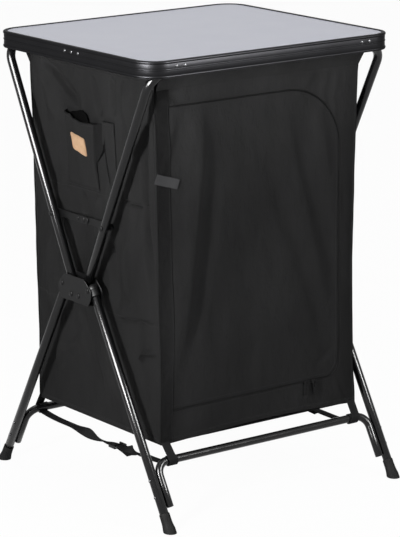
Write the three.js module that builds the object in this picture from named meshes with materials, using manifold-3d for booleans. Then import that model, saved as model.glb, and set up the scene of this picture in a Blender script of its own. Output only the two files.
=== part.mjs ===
// Folding camping storage cupboard: a table top on a folding tube frame, with a zipped cloth cabinet
// hung inside it. Millimetres, +Z up, front at -Y, origin on the floor under the middle of the top.

import * as THREE from 'three';
import { mergeVertices } from 'three/addons/utils/BufferGeometryUtils.js';
import Module from 'manifold-3d';

const wasm = await Module();
wasm.setup();

// Driving dimensions of the whole
const tableWidth = 600;
const tableDepth = 535;
const tableHeight = 910;
const tableCornerRadius = 50;

// Clearances and cutting
const fit = 0.3;
const overrun = 2;
const weld = 0.0001;

// Table top: ribbed edge profile and board
const rimHeight = 33;
const rimWall = 2.4;
const rimRecess = 1.8;
const rimBeadHeight = 6;
const rimRibHeight = 3;
const rimLipReach = 9;
const rimLipThickness = 1.2;
const rimLedgeReach = 11;
const rimLedgeThickness = 1.5;
const boardThickness = 4;

// Joint of the edge profile at the middle of the left side
const joinerLength = 90;
const joinerHeight = 12;
const joinerBelowRivets = 8.5;
const joinerMiddleY = -9;
const joinerThickness = 2;
const joinerRivetSpacing = 23;
const joinerRivetCount = 3;
const rimRivetRadius = 2;
const rimRivetHeadRadius = 3.2;
const rimRivetHead = 1.4;
const rimRivetDrop = 11.5;

// Brackets that hook over the top bars
const bracketInset = 76;
const bracketWidth = 34;
const bracketRivetSpacing = 19;
const bracketReach = 21;
const bracketWeb = 3.7;

// Tube frame
const tubeRadius = 9;
const tubeWall = 1.2;
const legInset = 19;
const barInset = 17.5;
const barDrop = 24;
const frameBend = 42;
const footSpread = 590;

// Hubs that join the upper and lower tubes at each side
const hubHeightShare = 0.4555;
const upperPivotSpacing = 25;
const lowerPivotRise = 16.5;
const pinRadius = 3;
const pinHeadRadius = 5.5;
const pinHead = 1.8;
const tubeEndMargin = 7;
const legEndMargin = 5;
const capWall = 1;
const capSkirt = 14;
const capTaper = 0.9;
const capClearance = 0.45;
const hubPlateThickness = 2.2;
const hubPlateBottomMargin = 2.5;
const hubPlateSideMargin = 12.5;
const hubPlateTopMargin = 21.5;
const hubPlateRise = 37.5;
const hubCornerRadius = 7;

// Rubber feet
const footRadius = 12.5;
const footTopRadius = 10.4;
const footHeight = 38;
const footSole = 7;
const footFlare = 22;

// Bottom braces between the lower legs
const braceRadius = 8;
const braceWall = 1.2;
const braceHeight = 119;
const braceBend = 26;
const braceEndHeight = 42;
const braceRivetRise = 20;
const braceRivetSpacing = 34;

// Folding stays
const stayRise = 148.5;
const stayWidth = 14;
const stayThickness = 2.5;
const stayOverlap = 9;
const stayNut = 4;
const stayStopOffset = 18;
const stayRivetRadius = 4;

// Cloth cabinet
const clothThickness = 1.6;
const sideGap = 31;
const cabinetInset = 54.5;
const cabinetBottom = 147;
const hemDrop = 40;
const sideHemRise = 20;
const sleeveThickness = 1.4;
const sleeveGap = 7;
const sleeveSkirt = 36;
const sleeveWrapDegrees = 265;
const shelfThickness = 4;
const shelfCount = 2;

// Door and zip
const doorHingeInset = 28;
const doorZipInset = 42;
const doorSill = 69;
const doorHeader = 36;
const doorTopRadius = 130;
const doorBottomRadius = 30;
const doorGap = 0.6;
const chainWidth = 6;
const chainThickness = 1.6;
const sliderLength = 12;
const sliderHeight = 7;
const sliderThickness = 4.5;
const pullLength = 26;
const pullWidth = 9;
const pullThickness = 2.2;
const pullSlot = 4;
const sliderPitch = 20;
const sliderFromZipSide = 64;

// Ties, loops, straps and pockets
const tieLength = 45;
const tieHeight = 17;
const tieFall = 34;
const tieThickness = 1.6;
const tieStandOff = 2.4;
const tieSeam = 9;
const tieDrop = 151;
const loopWrapDegrees = 148;
const webbingThickness = 1.4;
const webbingWidth = 20;
const webbingMargin = 0.7;
const strapWrapDegrees = 135;
const adjusterLength = 22;
const adjusterMargin = 5;
const adjusterPlay = 0.6;
const adjusterThickness = 2.4;
const adjusterFromBrace = 165;
const pocketWidth = 112;
const pocketHeight = 136;
const pocketDepth = 18;
const pocketTaper = 12;
const pocketDrop = 94;
const pocketMiddleY = 36;
const slimPocketWidth = 50;
const slimPocketHeight = 132;
const slimPocketDepth = 6.5;
const slimPocketTaper = 3;
const slimPocketDrop = 84;
const slimPocketMiddleY = -47;
const labelWidth = 50;
const labelHeight = 42;
const labelThickness = 1.6;
const labelDrop = 25;

// Folds of the hanging cloth: how far they stand out and how wide they are
const doorFoldDepth = 7;
const doorFoldWidth = 62;
const sideFoldDepth = 6;
const sideFoldWidth = 48;
const backFoldDepth = 5;
const backFoldWidth = 90;

// Number of flat sides and steps on round shapes
const tubeSides = 12;
const smallSides = 8;
const bendSteps = 5;
const cornerSteps = 5;
const sphereSteps = 4;
const doorColumns = 10;
const doorRows = 11;
const sideColumns = 16;
const sideRows = 9;
const backColumns = 12;
const backRows = 6;

// Places worked out from the sizes
const halfWidth = tableWidth / 2;
const halfDepth = tableDepth / 2;
const legX = halfWidth - legInset;
const barY = halfDepth - barInset;
const barZ = tableHeight - barDrop;
const bracketX = halfWidth - bracketInset;
const hubHeight = tableHeight * hubHeightShare;
const capRadius = Math.hypot(tubeRadius + fit, legEndMargin + fit) + capWall;
const upperPivot = { y: upperPivotSpacing / 2, z: hubHeight };
const upperLength = Math.hypot(barY - upperPivot.y, barZ - upperPivot.z);
const upperSlope = { y: (barY - upperPivot.y) / upperLength, z: (barZ - upperPivot.z) / upperLength };

// A lower leg's cap just clears the upper tube beside it
const pivotApart = (tubeRadius + capRadius + capClearance + lowerPivotRise * upperSlope.y) / upperSlope.z;
const lowerPivot = { y: upperPivot.y + pivotApart, z: hubHeight + lowerPivotRise };
const lowerLength = Math.hypot(footSpread / 2 - lowerPivot.y, lowerPivot.z);
const lowerSlope = { y: (footSpread / 2 - lowerPivot.y) / lowerLength, z: -lowerPivot.z / lowerLength };
const hubSpace = capRadius + fit;
const hubFloor = hubHeight - Math.hypot(tubeRadius, tubeEndMargin) - 2 * fit;
const cabinetX = legX - tubeRadius - sideGap;
const cabinetY = halfDepth - cabinetInset;
const cabinetTop = barZ - hemDrop;
const doorLeft = doorHingeInset - cabinetX;
const doorRight = cabinetX - doorZipInset;
const doorBottom = cabinetBottom + doorSill;
const doorTop = cabinetTop - doorHeader;
const tieTop = cabinetTop - tieDrop;
const pocketTop = cabinetTop - pocketDrop;
const slimPocketTop = cabinetTop - slimPocketDrop;
const braceX = legX - tubeRadius - braceRadius - fit;
const webbingX = braceX - braceBend - webbingWidth / 2 - webbingMargin;
const braceAlong = (lowerPivot.z - braceHeight) / -lowerSlope.z;
const braceY = lowerPivot.y + braceAlong * lowerSlope.y;
const braceEndAlong = (lowerPivot.z - braceEndHeight) / -lowerSlope.z;
const stayHeight = hubHeight + stayRise;
const stayAlong = (stayHeight - upperPivot.z) / upperSlope.z;
const stayY = upperPivot.y + stayAlong * upperSlope.y;

// Materials
function material(color, roughness, metalness) {
  return new THREE.MeshStandardMaterial({ color, roughness, metalness });
}
const boardMaterial = material(0xbcbdc9, 0.45, 0);
const rimMaterial = material(0x1b1c1e, 0.35, 0.6);
const tubeMaterial = material(0x141416, 0.2, 0.7);
const plateMaterial = material(0x2a2b2d, 0.4, 0.7);
const plasticMaterial = material(0x17181a, 0.45, 0);
const rubberMaterial = material(0x222325, 0.8, 0);
const clothMaterial = material(0x2c2c2e, 0.95, 0);
const webbingMaterial = material(0x1d1d1f, 0.9, 0);
const zipMaterial = material(0x151517, 0.6, 0);
const labelMaterial = material(0xe2b589, 0.6, 0);

// Closed mesh to solid and back
function toSolid(geometry) {
  const bare = geometry.clone();
  bare.deleteAttribute('normal');
  bare.deleteAttribute('uv');
  const merged = mergeVertices(bare, weld);
  return new wasm.Manifold(new wasm.Mesh({
    numProp: 3,
    vertProperties: new Float32Array(merged.attributes.position.array),
    triVerts: new Uint32Array(merged.index.array),
  }));
}

function toGeometry(solid) {
  const mesh = solid.getMesh();
  const geometry = new THREE.BufferGeometry();
  geometry.setAttribute('position', new THREE.BufferAttribute(new Float32Array(mesh.vertProperties), 3));
  geometry.setIndex(new THREE.BufferAttribute(new Uint32Array(mesh.triVerts), 1));
  geometry.computeVertexNormals();
  return geometry;
}

function join(...geometries) {
  return toGeometry(geometries.map(toSolid).reduce((whole, next) => whole.add(next)));
}

function cut(geometry, ...tools) {
  return toGeometry(tools.map(toSolid).reduce((whole, next) => whole.subtract(next), toSolid(geometry)));
}

// Mirror image across the plane x = 0, or y = 0
function mirrored(geometry, axis) {
  const copy = mergeVertices(geometry);
  copy.scale(axis === 'x' ? -1 : 1, axis === 'y' ? -1 : 1, 1);
  const index = copy.index.array;
  for (let i = 0; i < index.length; i += 3) {
    [index[i + 1], index[i + 2]] = [index[i + 2], index[i + 1]];
  }
  copy.computeVertexNormals();
  return copy;
}

// Box between two corners
function box(x0, x1, y0, y1, z0, z1) {
  const geometry = new THREE.BoxGeometry(x1 - x0, y1 - y0, z1 - z0);
  return geometry.translate((x0 + x1) / 2, (y0 + y1) / 2, (z0 + z1) / 2);
}

// Round rods along X and along Y
function rodX(x0, x1, y, z, radius, sides = smallSides) {
  const geometry = new THREE.CylinderGeometry(radius, radius, x1 - x0, sides);
  return geometry.rotateZ(Math.PI / 2).translate((x0 + x1) / 2, y, z);
}

function rodY(y0, y1, x, z, radius, sides = smallSides) {
  const geometry = new THREE.CylinderGeometry(radius, radius, y1 - y0, sides);
  return geometry.translate(x, (y0 + y1) / 2, z);
}

// Flat shapes drawn in (y, z), (x, z) or (x, y) and thickened along the third axis
function plateX(shape, x0, x1) {
  const geometry = new THREE.ExtrudeGeometry(shape, {
    depth: x1 - x0, bevelEnabled: false, curveSegments: cornerSteps,
  });
  const turn = new THREE.Matrix4().makeBasis(
    new THREE.Vector3(0, 1, 0), new THREE.Vector3(0, 0, 1), new THREE.Vector3(1, 0, 0));
  return geometry.applyMatrix4(turn).translate(x0, 0, 0);
}

function plateY(shape, y0, y1) {
  const geometry = new THREE.ExtrudeGeometry(shape, {
    depth: y1 - y0, bevelEnabled: false, curveSegments: cornerSteps,
  });
  const turn = new THREE.Matrix4().makeBasis(
    new THREE.Vector3(1, 0, 0), new THREE.Vector3(0, 0, 1), new THREE.Vector3(0, -1, 0));
  return geometry.applyMatrix4(turn).translate(0, y1, 0);
}

function plateZ(shape, z0, z1) {
  const geometry = new THREE.ExtrudeGeometry(shape, {
    depth: z1 - z0, bevelEnabled: false, curveSegments: cornerSteps,
  });
  return geometry.translate(0, 0, z0);
}

function shapeOf(points) {
  return new THREE.Shape(points.map(([a, b]) => new THREE.Vector2(a, b)));
}

// Outline with each corner rounded off
function roundedShape(points, radius) {
  const shape = new THREE.Shape();
  points.forEach((point, i) => {
    const corner = new THREE.Vector2(...point);
    const before = new THREE.Vector2(...points[(i + points.length - 1) % points.length]);
    const after = new THREE.Vector2(...points[(i + 1) % points.length]);
    const start = corner.clone().add(before.sub(corner).setLength(radius));
    const end = corner.clone().add(after.sub(corner).setLength(radius));
    if (i === 0) shape.moveTo(start.x, start.y);
    else shape.lineTo(start.x, start.y);
    shape.quadraticCurveTo(corner.x, corner.y, end.x, end.y);
  });
  shape.closePath();
  return shape;
}

// Points of an arc about (cx, cy), angles in degrees
function arc(cx, cy, radius, from, to, steps) {
  return Array.from({ length: steps + 1 }, (_, i) => {
    const angle = THREE.MathUtils.degToRad(from + (to - from) * i / steps);
    return [cx + radius * Math.cos(angle), cy + radius * Math.sin(angle)];
  });
}

// Outline of a strip of cloth that follows a line seen edge on
function stripShape(line, thickness) {
  const left = [];
  const right = [];
  line.forEach((point, i) => {
    const before = line[Math.max(i - 1, 0)];
    const after = line[Math.min(i + 1, line.length - 1)];
    const along = new THREE.Vector2(after[0] - before[0], after[1] - before[1]).normalize();
    left.push([point[0] - along.y * thickness / 2, point[1] + along.x * thickness / 2]);
    right.push([point[0] + along.y * thickness / 2, point[1] - along.x * thickness / 2]);
  });
  return shapeOf(right.concat(left.reverse()));
}

// Route whose steps are its own points, so that straight runs take one step
class Route extends THREE.Curve {
  constructor(points) {
    super();
    this.points = points;
  }

  getUtoTmapping(u) {
    return u;
  }

  getPoint(t, target = new THREE.Vector3()) {
    const place = Math.min(Math.max(t, 0), 1) * (this.points.length - 1);
    const i = Math.min(Math.floor(place), this.points.length - 2);
    return target.lerpVectors(this.points[i], this.points[i + 1], place - i);
  }

  getTangent(t, target = new THREE.Vector3()) {
    const i = Math.round(t * (this.points.length - 1));
    const before = this.points[Math.max(i - 1, 0)];
    const here = this.points[i];
    const after = this.points[Math.min(i + 1, this.points.length - 1)];
    const arriving = here.clone().sub(before).normalize();
    const leaving = after.clone().sub(here).normalize();
    return target.addVectors(arriving, leaving).normalize();
  }
}

function sweep(points, radius, sides) {
  const section = new THREE.Shape(arc(0, 0, radius, 0, 360 - 360 / sides, sides - 1)
    .map(([a, b]) => new THREE.Vector2(a, b)));
  return new THREE.ExtrudeGeometry(section, {
    steps: points.length - 1, extrudePath: new Route(points), bevelEnabled: false,
  });
}

// Hollow tube with open ends along a list of points
function hollowTube(points, radius, wall) {
  const first = points[0].clone().sub(points[1]).setLength(overrun).add(points[0]);
  const last = points.at(-1).clone().sub(points.at(-2)).setLength(overrun).add(points.at(-1));
  const inside = [first, ...points.slice(1, -1), last];
  return cut(sweep(points, radius, tubeSides), sweep(inside, radius - wall, smallSides));
}

// Point of the tube frame: x across, and the distance along a leg from its pivot
function alongLeg(pivot, slope, x, distance, side) {
  return new THREE.Vector3(x, side * (pivot.y + slope.y * distance), pivot.z + slope.z * distance);
}

// Tube bent to a U: two legs at +-x that run from one distance to the crossbar's
function uTube(pivot, slope, x, from, to, bend, radius, wall, side) {
  const toward = Math.sign(to - from);
  const half = [[x, from]];
  for (let i = 0; i <= bendSteps; i++) {
    const angle = Math.PI / 2 * i / bendSteps;
    half.push([x - bend + bend * Math.cos(angle), to + toward * bend * (Math.sin(angle) - 1)]);
  }
  const other = half.map(([a, b]) => [-a, b]).reverse();
  const points = half.concat(other).map(([a, b]) => alongLeg(pivot, slope, a, b, side));
  return hollowTube(points, radius, wall);
}

// Round-cornered rectangle of the table top, drawn in by an inset
function tableOutline(inset) {
  const x = halfWidth - tableCornerRadius;
  const y = halfDepth - tableCornerRadius;
  const radius = tableCornerRadius - inset;
  return [
    ...arc(x, y, radius, 0, 90, cornerSteps),
    ...arc(-x, y, radius, 90, 180, cornerSteps),
    ...arc(-x, -y, radius, 180, 270, cornerSteps),
    ...arc(x, -y, radius, 270, 360, cornerSteps),
  ];
}

// Section of the edge profile: [inset from the outer face, height], going round it once
function rimSection() {
  const bottom = tableHeight - rimHeight;
  const middle = tableHeight - rimHeight / 2;
  const inner = rimRecess + rimWall;
  const ledge = tableHeight - rimLipThickness - boardThickness - 2 * fit;
  return [
    [rimRecess, bottom],
    [0, bottom + rimRecess],
    [0, bottom + rimBeadHeight - rimRecess],
    [rimRecess, bottom + rimBeadHeight],
    [rimRecess, middle - rimRibHeight / 2],
    [rimRecess / 2, middle],
    [rimRecess, middle + rimRibHeight / 2],
    [rimRecess, tableHeight - rimBeadHeight],
    [0, tableHeight - rimBeadHeight + rimRecess],
    [0, tableHeight - rimRecess],
    [rimRecess, tableHeight],
    [rimLipReach, tableHeight],
    [rimLipReach, tableHeight - rimLipThickness],
    [inner, tableHeight - rimLipThickness],
    [inner, ledge],
    [rimLedgeReach, ledge],
    [rimLedgeReach, ledge - rimLedgeThickness],
    [inner, ledge - rimLedgeThickness],
    [inner, bottom],
  ];
}

// Closed ring: the section carried round the outline of the table
function rimRing() {
  const section = rimSection();
  const loops = section.map(([inset]) => tableOutline(inset));
  const turns = loops[0].length;
  const positions = [];
  section.forEach(([, z], i) => loops[i].forEach(([x, y]) => positions.push(x, y, z)));
  const index = [];
  section.forEach((_, i) => {
    const above = (i + 1) % section.length;
    for (let k = 0; k < turns; k++) {
      const next = (k + 1) % turns;
      const corners = [i * turns + k, i * turns + next, above * turns + next, above * turns + k];
      index.push(corners[0], corners[1], corners[2], corners[0], corners[2], corners[3]);
    }
  });
  const geometry = new THREE.BufferGeometry();
  geometry.setAttribute('position', new THREE.Float32BufferAttribute(positions, 3));
  geometry.setIndex(index);
  geometry.computeVertexNormals();
  return geometry;
}

// Rivets through the edge profile: their height, and the faces that they pass
const rimRivetZ = tableHeight - rimRivetDrop;
const rimOuterY = halfDepth - rimRecess;
const rimInnerY = rimOuterY - rimWall;
const rimOuterX = halfWidth - rimRecess;
const rimInnerX = rimOuterX - rimWall;
const joinerRivetYs = Array.from({ length: joinerRivetCount },
  (_, i) => joinerMiddleY + (i - (joinerRivetCount - 1) / 2) * joinerRivetSpacing);
const bracketRivetXs = [-1, 1].flatMap((side) => [-1, 1]
  .map((end) => side * bracketX + end * bracketRivetSpacing / 2));

function rim() {
  const holes = joinerRivetYs.map((y) => rodX(-halfWidth - overrun, -rimInnerX + overrun, y,
    rimRivetZ, rimRivetRadius + fit));
  for (const side of [-1, 1]) {
    for (const x of bracketRivetXs) {
      const reach = [side * (rimInnerY - overrun), side * (halfDepth + overrun)].sort((a, b) => a - b);
      holes.push(rodY(reach[0], reach[1], x, rimRivetZ, rimRivetRadius + fit));
    }
  }
  return cut(rimRing(), ...holes);
}

function board() {
  const top = tableHeight - rimLipThickness - fit;
  return plateZ(shapeOf(tableOutline(rimRecess + rimWall + fit)), top - boardThickness, top);
}

// Strip inside the edge profile that joins its two ends, with its rivets
function rimJoiner() {
  const inner = -rimInnerX + fit;
  const low = rimRivetZ - joinerBelowRivets;
  const strip = box(inner, inner + joinerThickness, joinerMiddleY - joinerLength / 2,
    joinerMiddleY + joinerLength / 2, low, low + joinerHeight);
  const head = -rimOuterX - fit;
  const rivets = joinerRivetYs.flatMap((y) => [
    rodX(head - rimRivetHead, inner + joinerThickness / 2, y, rimRivetZ, rimRivetRadius),
    rodX(head - rimRivetHead, head, y, rimRivetZ, rimRivetHeadRadius),
  ]);
  return join(strip, ...rivets);
}

// Bracket riveted inside the front edge, hooked over the outer half of a top bar
function bracket() {
  const outer = -rimInnerY + fit;
  const face = -barY - tubeRadius - fit;
  const top = barZ + tubeRadius + fit + bracketWeb;
  const profile = shapeOf([
    [outer, top - bracketReach],
    [face, top - bracketReach],
    [face, barZ + tubeRadius + fit],
    [-barY, barZ + tubeRadius + fit],
    [-barY, top],
    [outer, top],
  ]);
  const hook = plateX(profile, bracketX - bracketWidth / 2, bracketX + bracketWidth / 2);
  const head = -rimOuterY - fit;
  const rivets = [-1, 1].flatMap((end) => {
    const x = bracketX + end * bracketRivetSpacing / 2;
    return [
      rodY(head - rimRivetHead, (outer + face) / 2, x, rimRivetZ, rimRivetRadius),
      rodY(head - rimRivetHead, head, x, rimRivetZ, rimRivetHeadRadius),
    ];
  });
  return join(hook, ...rivets);
}

// Upper frame: a U of tube whose bar carries the table top; side is -1 at the front, 1 at the back
function upperFrame(side) {
  const tube = uTube(upperPivot, upperSlope, legX, -tubeEndMargin, upperLength, frameBend,
    tubeRadius, tubeWall, side);
  const across = legX + tubeRadius + overrun;
  const pinHole = rodX(-across, across, side * upperPivot.y, upperPivot.z, pinRadius + fit);
  const boltHole = rodX(-across, across, side * stayY, stayHeight, pinRadius + fit);
  return cut(tube, pinHole, boltHole);
}

// Lower leg at the left, front
function lowerLeg() {
  const top = alongLeg(lowerPivot, lowerSlope, -legX, -legEndMargin, -1);
  const bottom = alongLeg(lowerPivot, lowerSlope, -legX, lowerLength - footSole, -1);
  const tube = hollowTube([top, bottom], tubeRadius, tubeWall);
  const holes = [rodX(-legX - tubeRadius - overrun, -legX + tubeRadius + overrun, -lowerPivot.y,
    lowerPivot.z, pinRadius + fit)];
  for (const rivet of braceRivets()) {
    holes.push(rodX(-legX - tubeRadius - overrun, -legX + tubeRadius + overrun, rivet.y, rivet.z,
      rimRivetRadius + fit));
  }
  return cut(tube, ...holes);
}

// Turns a piece that was made upright at the origin onto the left front leg
function ontoLeg(geometry, distance) {
  const place = alongLeg(lowerPivot, lowerSlope, -legX, distance, -1);
  const tilt = Math.atan2(lowerSlope.y, -lowerSlope.z);
  return geometry.rotateX(-tilt).translate(place.x, place.y, place.z);
}

// Domed cap on the leg's upper end, round about the pivot so that it clears the upper tube
function legCap() {
  const inside = tubeRadius + fit;
  const skirtRadius = capRadius - capTaper;
  const dome = arc(0, 0, capRadius, 90, 0, sphereSteps);
  dome[0][0] = 0;
  const profile = [
    [0, legEndMargin + fit],
    [inside, legEndMargin + fit],
    [inside, -capSkirt],
    [skirtRadius, -capSkirt],
    ...dome.reverse(),
  ];
  const cap = new THREE.LatheGeometry(profile.map(([r, z]) => new THREE.Vector2(r, z)), tubeSides);
  cap.rotateX(Math.PI / 2);
  const hole = rodX(-capRadius - overrun, capRadius + overrun, 0, 0, pinRadius + fit);
  return ontoLeg(cut(cap, hole), 0);
}

// Rubber foot: a flared boot over the leg's end, cut level with the floor
function foot() {
  const inside = tubeRadius + fit;
  const sole = footSole - fit;
  const profile = [
    [0, -footRadius],
    [footRadius, -footRadius],
    [footRadius, footSole],
    [footTopRadius, footFlare],
    [footTopRadius, footHeight],
    [inside, footHeight],
    [inside, sole],
    [0, sole],
  ];
  const boot = new THREE.LatheGeometry(profile.map(([r, z]) => new THREE.Vector2(r, z)), tubeSides);
  boot.rotateX(Math.PI / 2);
  const placed = ontoLeg(boot, lowerLength);
  const reach = footHeight;
  const place = alongLeg(lowerPivot, lowerSlope, -legX, lowerLength, -1);
  const floor = box(place.x - reach, place.x + reach, place.y - reach, place.y + reach, -reach, 0);
  return cut(placed, floor);
}

// Places of the rivets that hold a brace's short legs to the left front leg
function braceRivets() {
  return [0, 1].map((i) => {
    const height = braceEndHeight + braceRivetRise + i * braceRivetSpacing * -lowerSlope.z;
    const distance = (lowerPivot.z - height) / -lowerSlope.z;
    return alongLeg(lowerPivot, lowerSlope, -legX, distance, -1);
  });
}

// Bottom brace: a U of tube whose short legs lie inside the front lower legs
function brace() {
  const tube = uTube(lowerPivot, lowerSlope, braceX, braceEndAlong, braceAlong, braceBend,
    braceRadius, braceWall, -1);
  const rivets = [-1, 1].flatMap((end) => braceRivets().flatMap(({ y, z }) => {
    const head = legX + tubeRadius + fit;
    const spans = [
      [braceX + braceRadius - braceWall / 2, head + rimRivetHead, rimRivetRadius],
      [head, head + rimRivetHead, rimRivetHeadRadius],
    ];
    return spans.map(([a, b, radius]) => {
      const reach = [end * a, end * b].sort((p, q) => p - q);
      return rodX(reach[0], reach[1], y, z, radius);
    });
  }));
  return join(tube, ...rivets);
}

// Outline of the hub plates, in (y, z)
const hubFlangeReach = lowerPivot.y + hubPlateBottomMargin;
function hubOutline() {
  const low = hubFloor - hubPlateThickness;
  const right = [
    [hubFlangeReach, low],
    [lowerPivot.y + hubPlateSideMargin, (low + lowerPivot.z) / 2],
    [lowerPivot.y + hubPlateSideMargin, lowerPivot.z],
    [upperPivot.y + hubPlateTopMargin, hubHeight + hubPlateRise],
  ];
  const left = right.map(([y, z]) => [-y, z]).reverse();
  return roundedShape(right.concat(left), hubCornerRadius);
}

const hubPins = [-1, 1].flatMap((side) => [
  { y: side * upperPivot.y, z: upperPivot.z },
  { y: side * lowerPivot.y, z: lowerPivot.z },
]);

// Outer hub plate at the left, with its bottom edge folded in under the tubes
function hubPlate() {
  const inner = -legX - hubSpace;
  const plate = plateX(hubOutline(), inner - hubPlateThickness, inner);
  const flange = box(inner - hubPlateThickness / 2, -legX + hubSpace - fit,
    -hubFlangeReach, hubFlangeReach, hubFloor - hubPlateThickness, hubFloor);
  const holes = hubPins.map(({ y, z }) => rodX(inner - hubPlateThickness - overrun, inner + overrun,
    y, z, pinRadius + fit));
  return cut(join(plate, flange), ...holes);
}

// Inner hub plate at the left, with the four pivot pins riveted into it
function hubBackPlate() {
  const face = -legX + hubSpace;
  const plate = plateX(hubOutline(), face, face + hubPlateThickness);
  const outer = -legX - hubSpace - hubPlateThickness - fit;
  const pins = hubPins.flatMap(({ y, z }) => [
    rodX(outer - pinHead / 2, face + hubPlateThickness / 2, y, z, pinRadius),
    rodX(outer - pinHead, outer, y, z, pinHeadRadius),
    rodX(face + hubPlateThickness / 2, face + hubPlateThickness + pinHead, y, z, pinHeadRadius),
  ]);
  return join(plate, ...pins);
}

// Half of the left folding stay, with its bolt through the tube; side is -1 for the front half
function stay(side) {
  const lap = side < 0 ? stayThickness + fit : 0;
  const outer = -legX + tubeRadius + fit + lap;
  const inner = outer + stayThickness;
  const ends = [side * stayY, -side * stayOverlap];
  const low = Math.min(...ends);
  const high = Math.max(...ends);
  const round = stayWidth / 2;
  const outline = shapeOf([
    ...arc(low, stayHeight, round, 90, 270, cornerSteps),
    ...arc(high, stayHeight, round, -90, 90, cornerSteps),
  ]);
  const head = -legX - tubeRadius - fit;
  const pieces = [
    plateX(outline, outer, inner),
    rodX(head - pinHead / 2, inner - stayThickness / 2, side * stayY, stayHeight, pinRadius),
    rodX(head - pinHead, head, side * stayY, stayHeight, pinHeadRadius),
    rodX(inner - stayThickness / 2, inner + stayNut, side * stayY, stayHeight, pinHeadRadius),
  ];
  if (side > 0) {
    const rivet = [outer - pinHead, outer + stayThickness / 2];
    pieces.push(rodX(...rivet, 0, stayHeight, pinHeadRadius));
    pieces.push(rodX(...rivet, stayStopOffset, stayHeight, stayRivetRadius));
  } else {
    pieces.push(rodX(-legX + tubeRadius + fit, outer + stayThickness / 2, -stayY, stayHeight,
      pinHeadRadius));
    pieces.push(rodX(inner - stayThickness / 2, inner + pinHead, 0, stayHeight, pinHeadRadius));
  }
  return join(...pieces);
}

// Door outline in (x, z), grown by a gap on every side
function doorOutline(gap) {
  const left = doorLeft - gap;
  const right = doorRight + gap;
  const low = doorBottom - gap;
  const high = doorTop + gap;
  const topRadius = doorTopRadius + gap;
  const bottomRadius = doorBottomRadius + gap;
  return [
    [left, low],
    ...arc(right - bottomRadius, low + bottomRadius, bottomRadius, -90, 0, cornerSteps),
    ...arc(right - topRadius, high - topRadius, topRadius, 0, 90, 2 * cornerSteps),
    [left, high],
  ];
}

// Rises from 0 at both ends of a span to 1 inside it
function within(value, low, high, edge) {
  const near = Math.min(value - low, high - value) / edge;
  return THREE.MathUtils.smoothstep(near, 0, 1);
}

// Evenly spaced places from low to high
function evenly(low, high, steps) {
  return Array.from({ length: steps + 1 }, (_, i) => low + (high - low) * i / steps);
}

// Hanging sheet: a column at each of the places across, and rows up it. stand() says how far the
// cloth stands out at a point, and place() turns the point of a layer into space.
function foldedSheet(places, rows, edges, stand, place) {
  const across = places.length;
  const columns = across - 1;
  const points = [];
  for (const layer of [0, 1]) {
    for (let j = 0; j <= rows; j++) {
      for (const a of places) {
        const [bottom, top] = edges(a);
        const z = bottom + (top - bottom) * j / rows;
        points.push(place(a, z, stand(a, z), layer));
      }
    }
  }
  const index = [];
  const at = (layer, i, j) => layer * across * (rows + 1) + j * across + i;
  const quad = (a, b, c, d) => index.push(a, b, c, a, c, d);
  for (let j = 0; j < rows; j++) {
    for (let i = 0; i < columns; i++) {
      quad(at(0, i, j), at(0, i + 1, j), at(0, i + 1, j + 1), at(0, i, j + 1));
      quad(at(1, i, j), at(1, i, j + 1), at(1, i + 1, j + 1), at(1, i + 1, j));
    }
    quad(at(0, columns, j), at(1, columns, j), at(1, columns, j + 1), at(0, columns, j + 1));
    quad(at(0, 0, j), at(0, 0, j + 1), at(1, 0, j + 1), at(1, 0, j));
  }
  for (let i = 0; i < columns; i++) {
    quad(at(0, i, 0), at(1, i, 0), at(1, i + 1, 0), at(0, i + 1, 0));
    quad(at(0, i, rows), at(0, i + 1, rows), at(1, i + 1, rows), at(1, i, rows));
  }
  const geometry = new THREE.BufferGeometry();
  geometry.setAttribute('position', new THREE.Float32BufferAttribute(points.flat(), 3));
  geometry.setIndex(index);
  geometry.computeVertexNormals();
  return geometry;
}

// Door of the cabinet, with soft folds that lean as they fall
function door() {
  const edges = (x) => {
    const topCurve = Math.max(x - (doorRight - doorTopRadius), 0);
    const bottomCurve = Math.max(x - (doorRight - doorBottomRadius), 0);
    const drop = doorTopRadius - Math.sqrt(Math.max(doorTopRadius ** 2 - topCurve ** 2, 0));
    const lift = doorBottomRadius - Math.sqrt(Math.max(doorBottomRadius ** 2 - bottomCurve ** 2, 0));
    return [doorBottom + lift, doorTop - drop];
  };
  const stand = (x, z) => {
    const [low, high] = edges(x);
    const inside = within(x, doorLeft, doorRight, doorFoldWidth)
      * within(z, low, high, doorFoldWidth);
    const lean = (z - doorBottom) / (doorTop - doorBottom);
    const phase = Math.PI * x / doorFoldWidth;
    const wave = Math.sin(phase + lean) + Math.sin(phase * 2 / 3);
    return doorFoldDepth * inside * (wave + 2) / 4;
  };
  const place = (x, z, out, layer) => [x, -cabinetY - out + layer * clothThickness, z];
  const arcStart = doorRight - doorTopRadius;
  const curved = arc(arcStart, 0, doorTopRadius, 90, 0, 2 * cornerSteps).map(([x]) => x);
  const places = [...evenly(doorLeft, arcStart, doorColumns).slice(0, -1), ...curved];
  return foldedSheet(places, doorRows, edges, stand, place);
}

// Front of the cabinet round the door
function frontPanel() {
  const shape = shapeOf([
    [-cabinetX, cabinetBottom], [cabinetX, cabinetBottom], [cabinetX, cabinetTop], [-cabinetX, cabinetTop],
  ]);
  shape.holes.push(new THREE.Path(doorOutline(doorGap).map(([x, z]) => new THREE.Vector2(x, z))));
  return plateY(shape, -cabinetY, -cabinetY + clothThickness);
}

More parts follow.
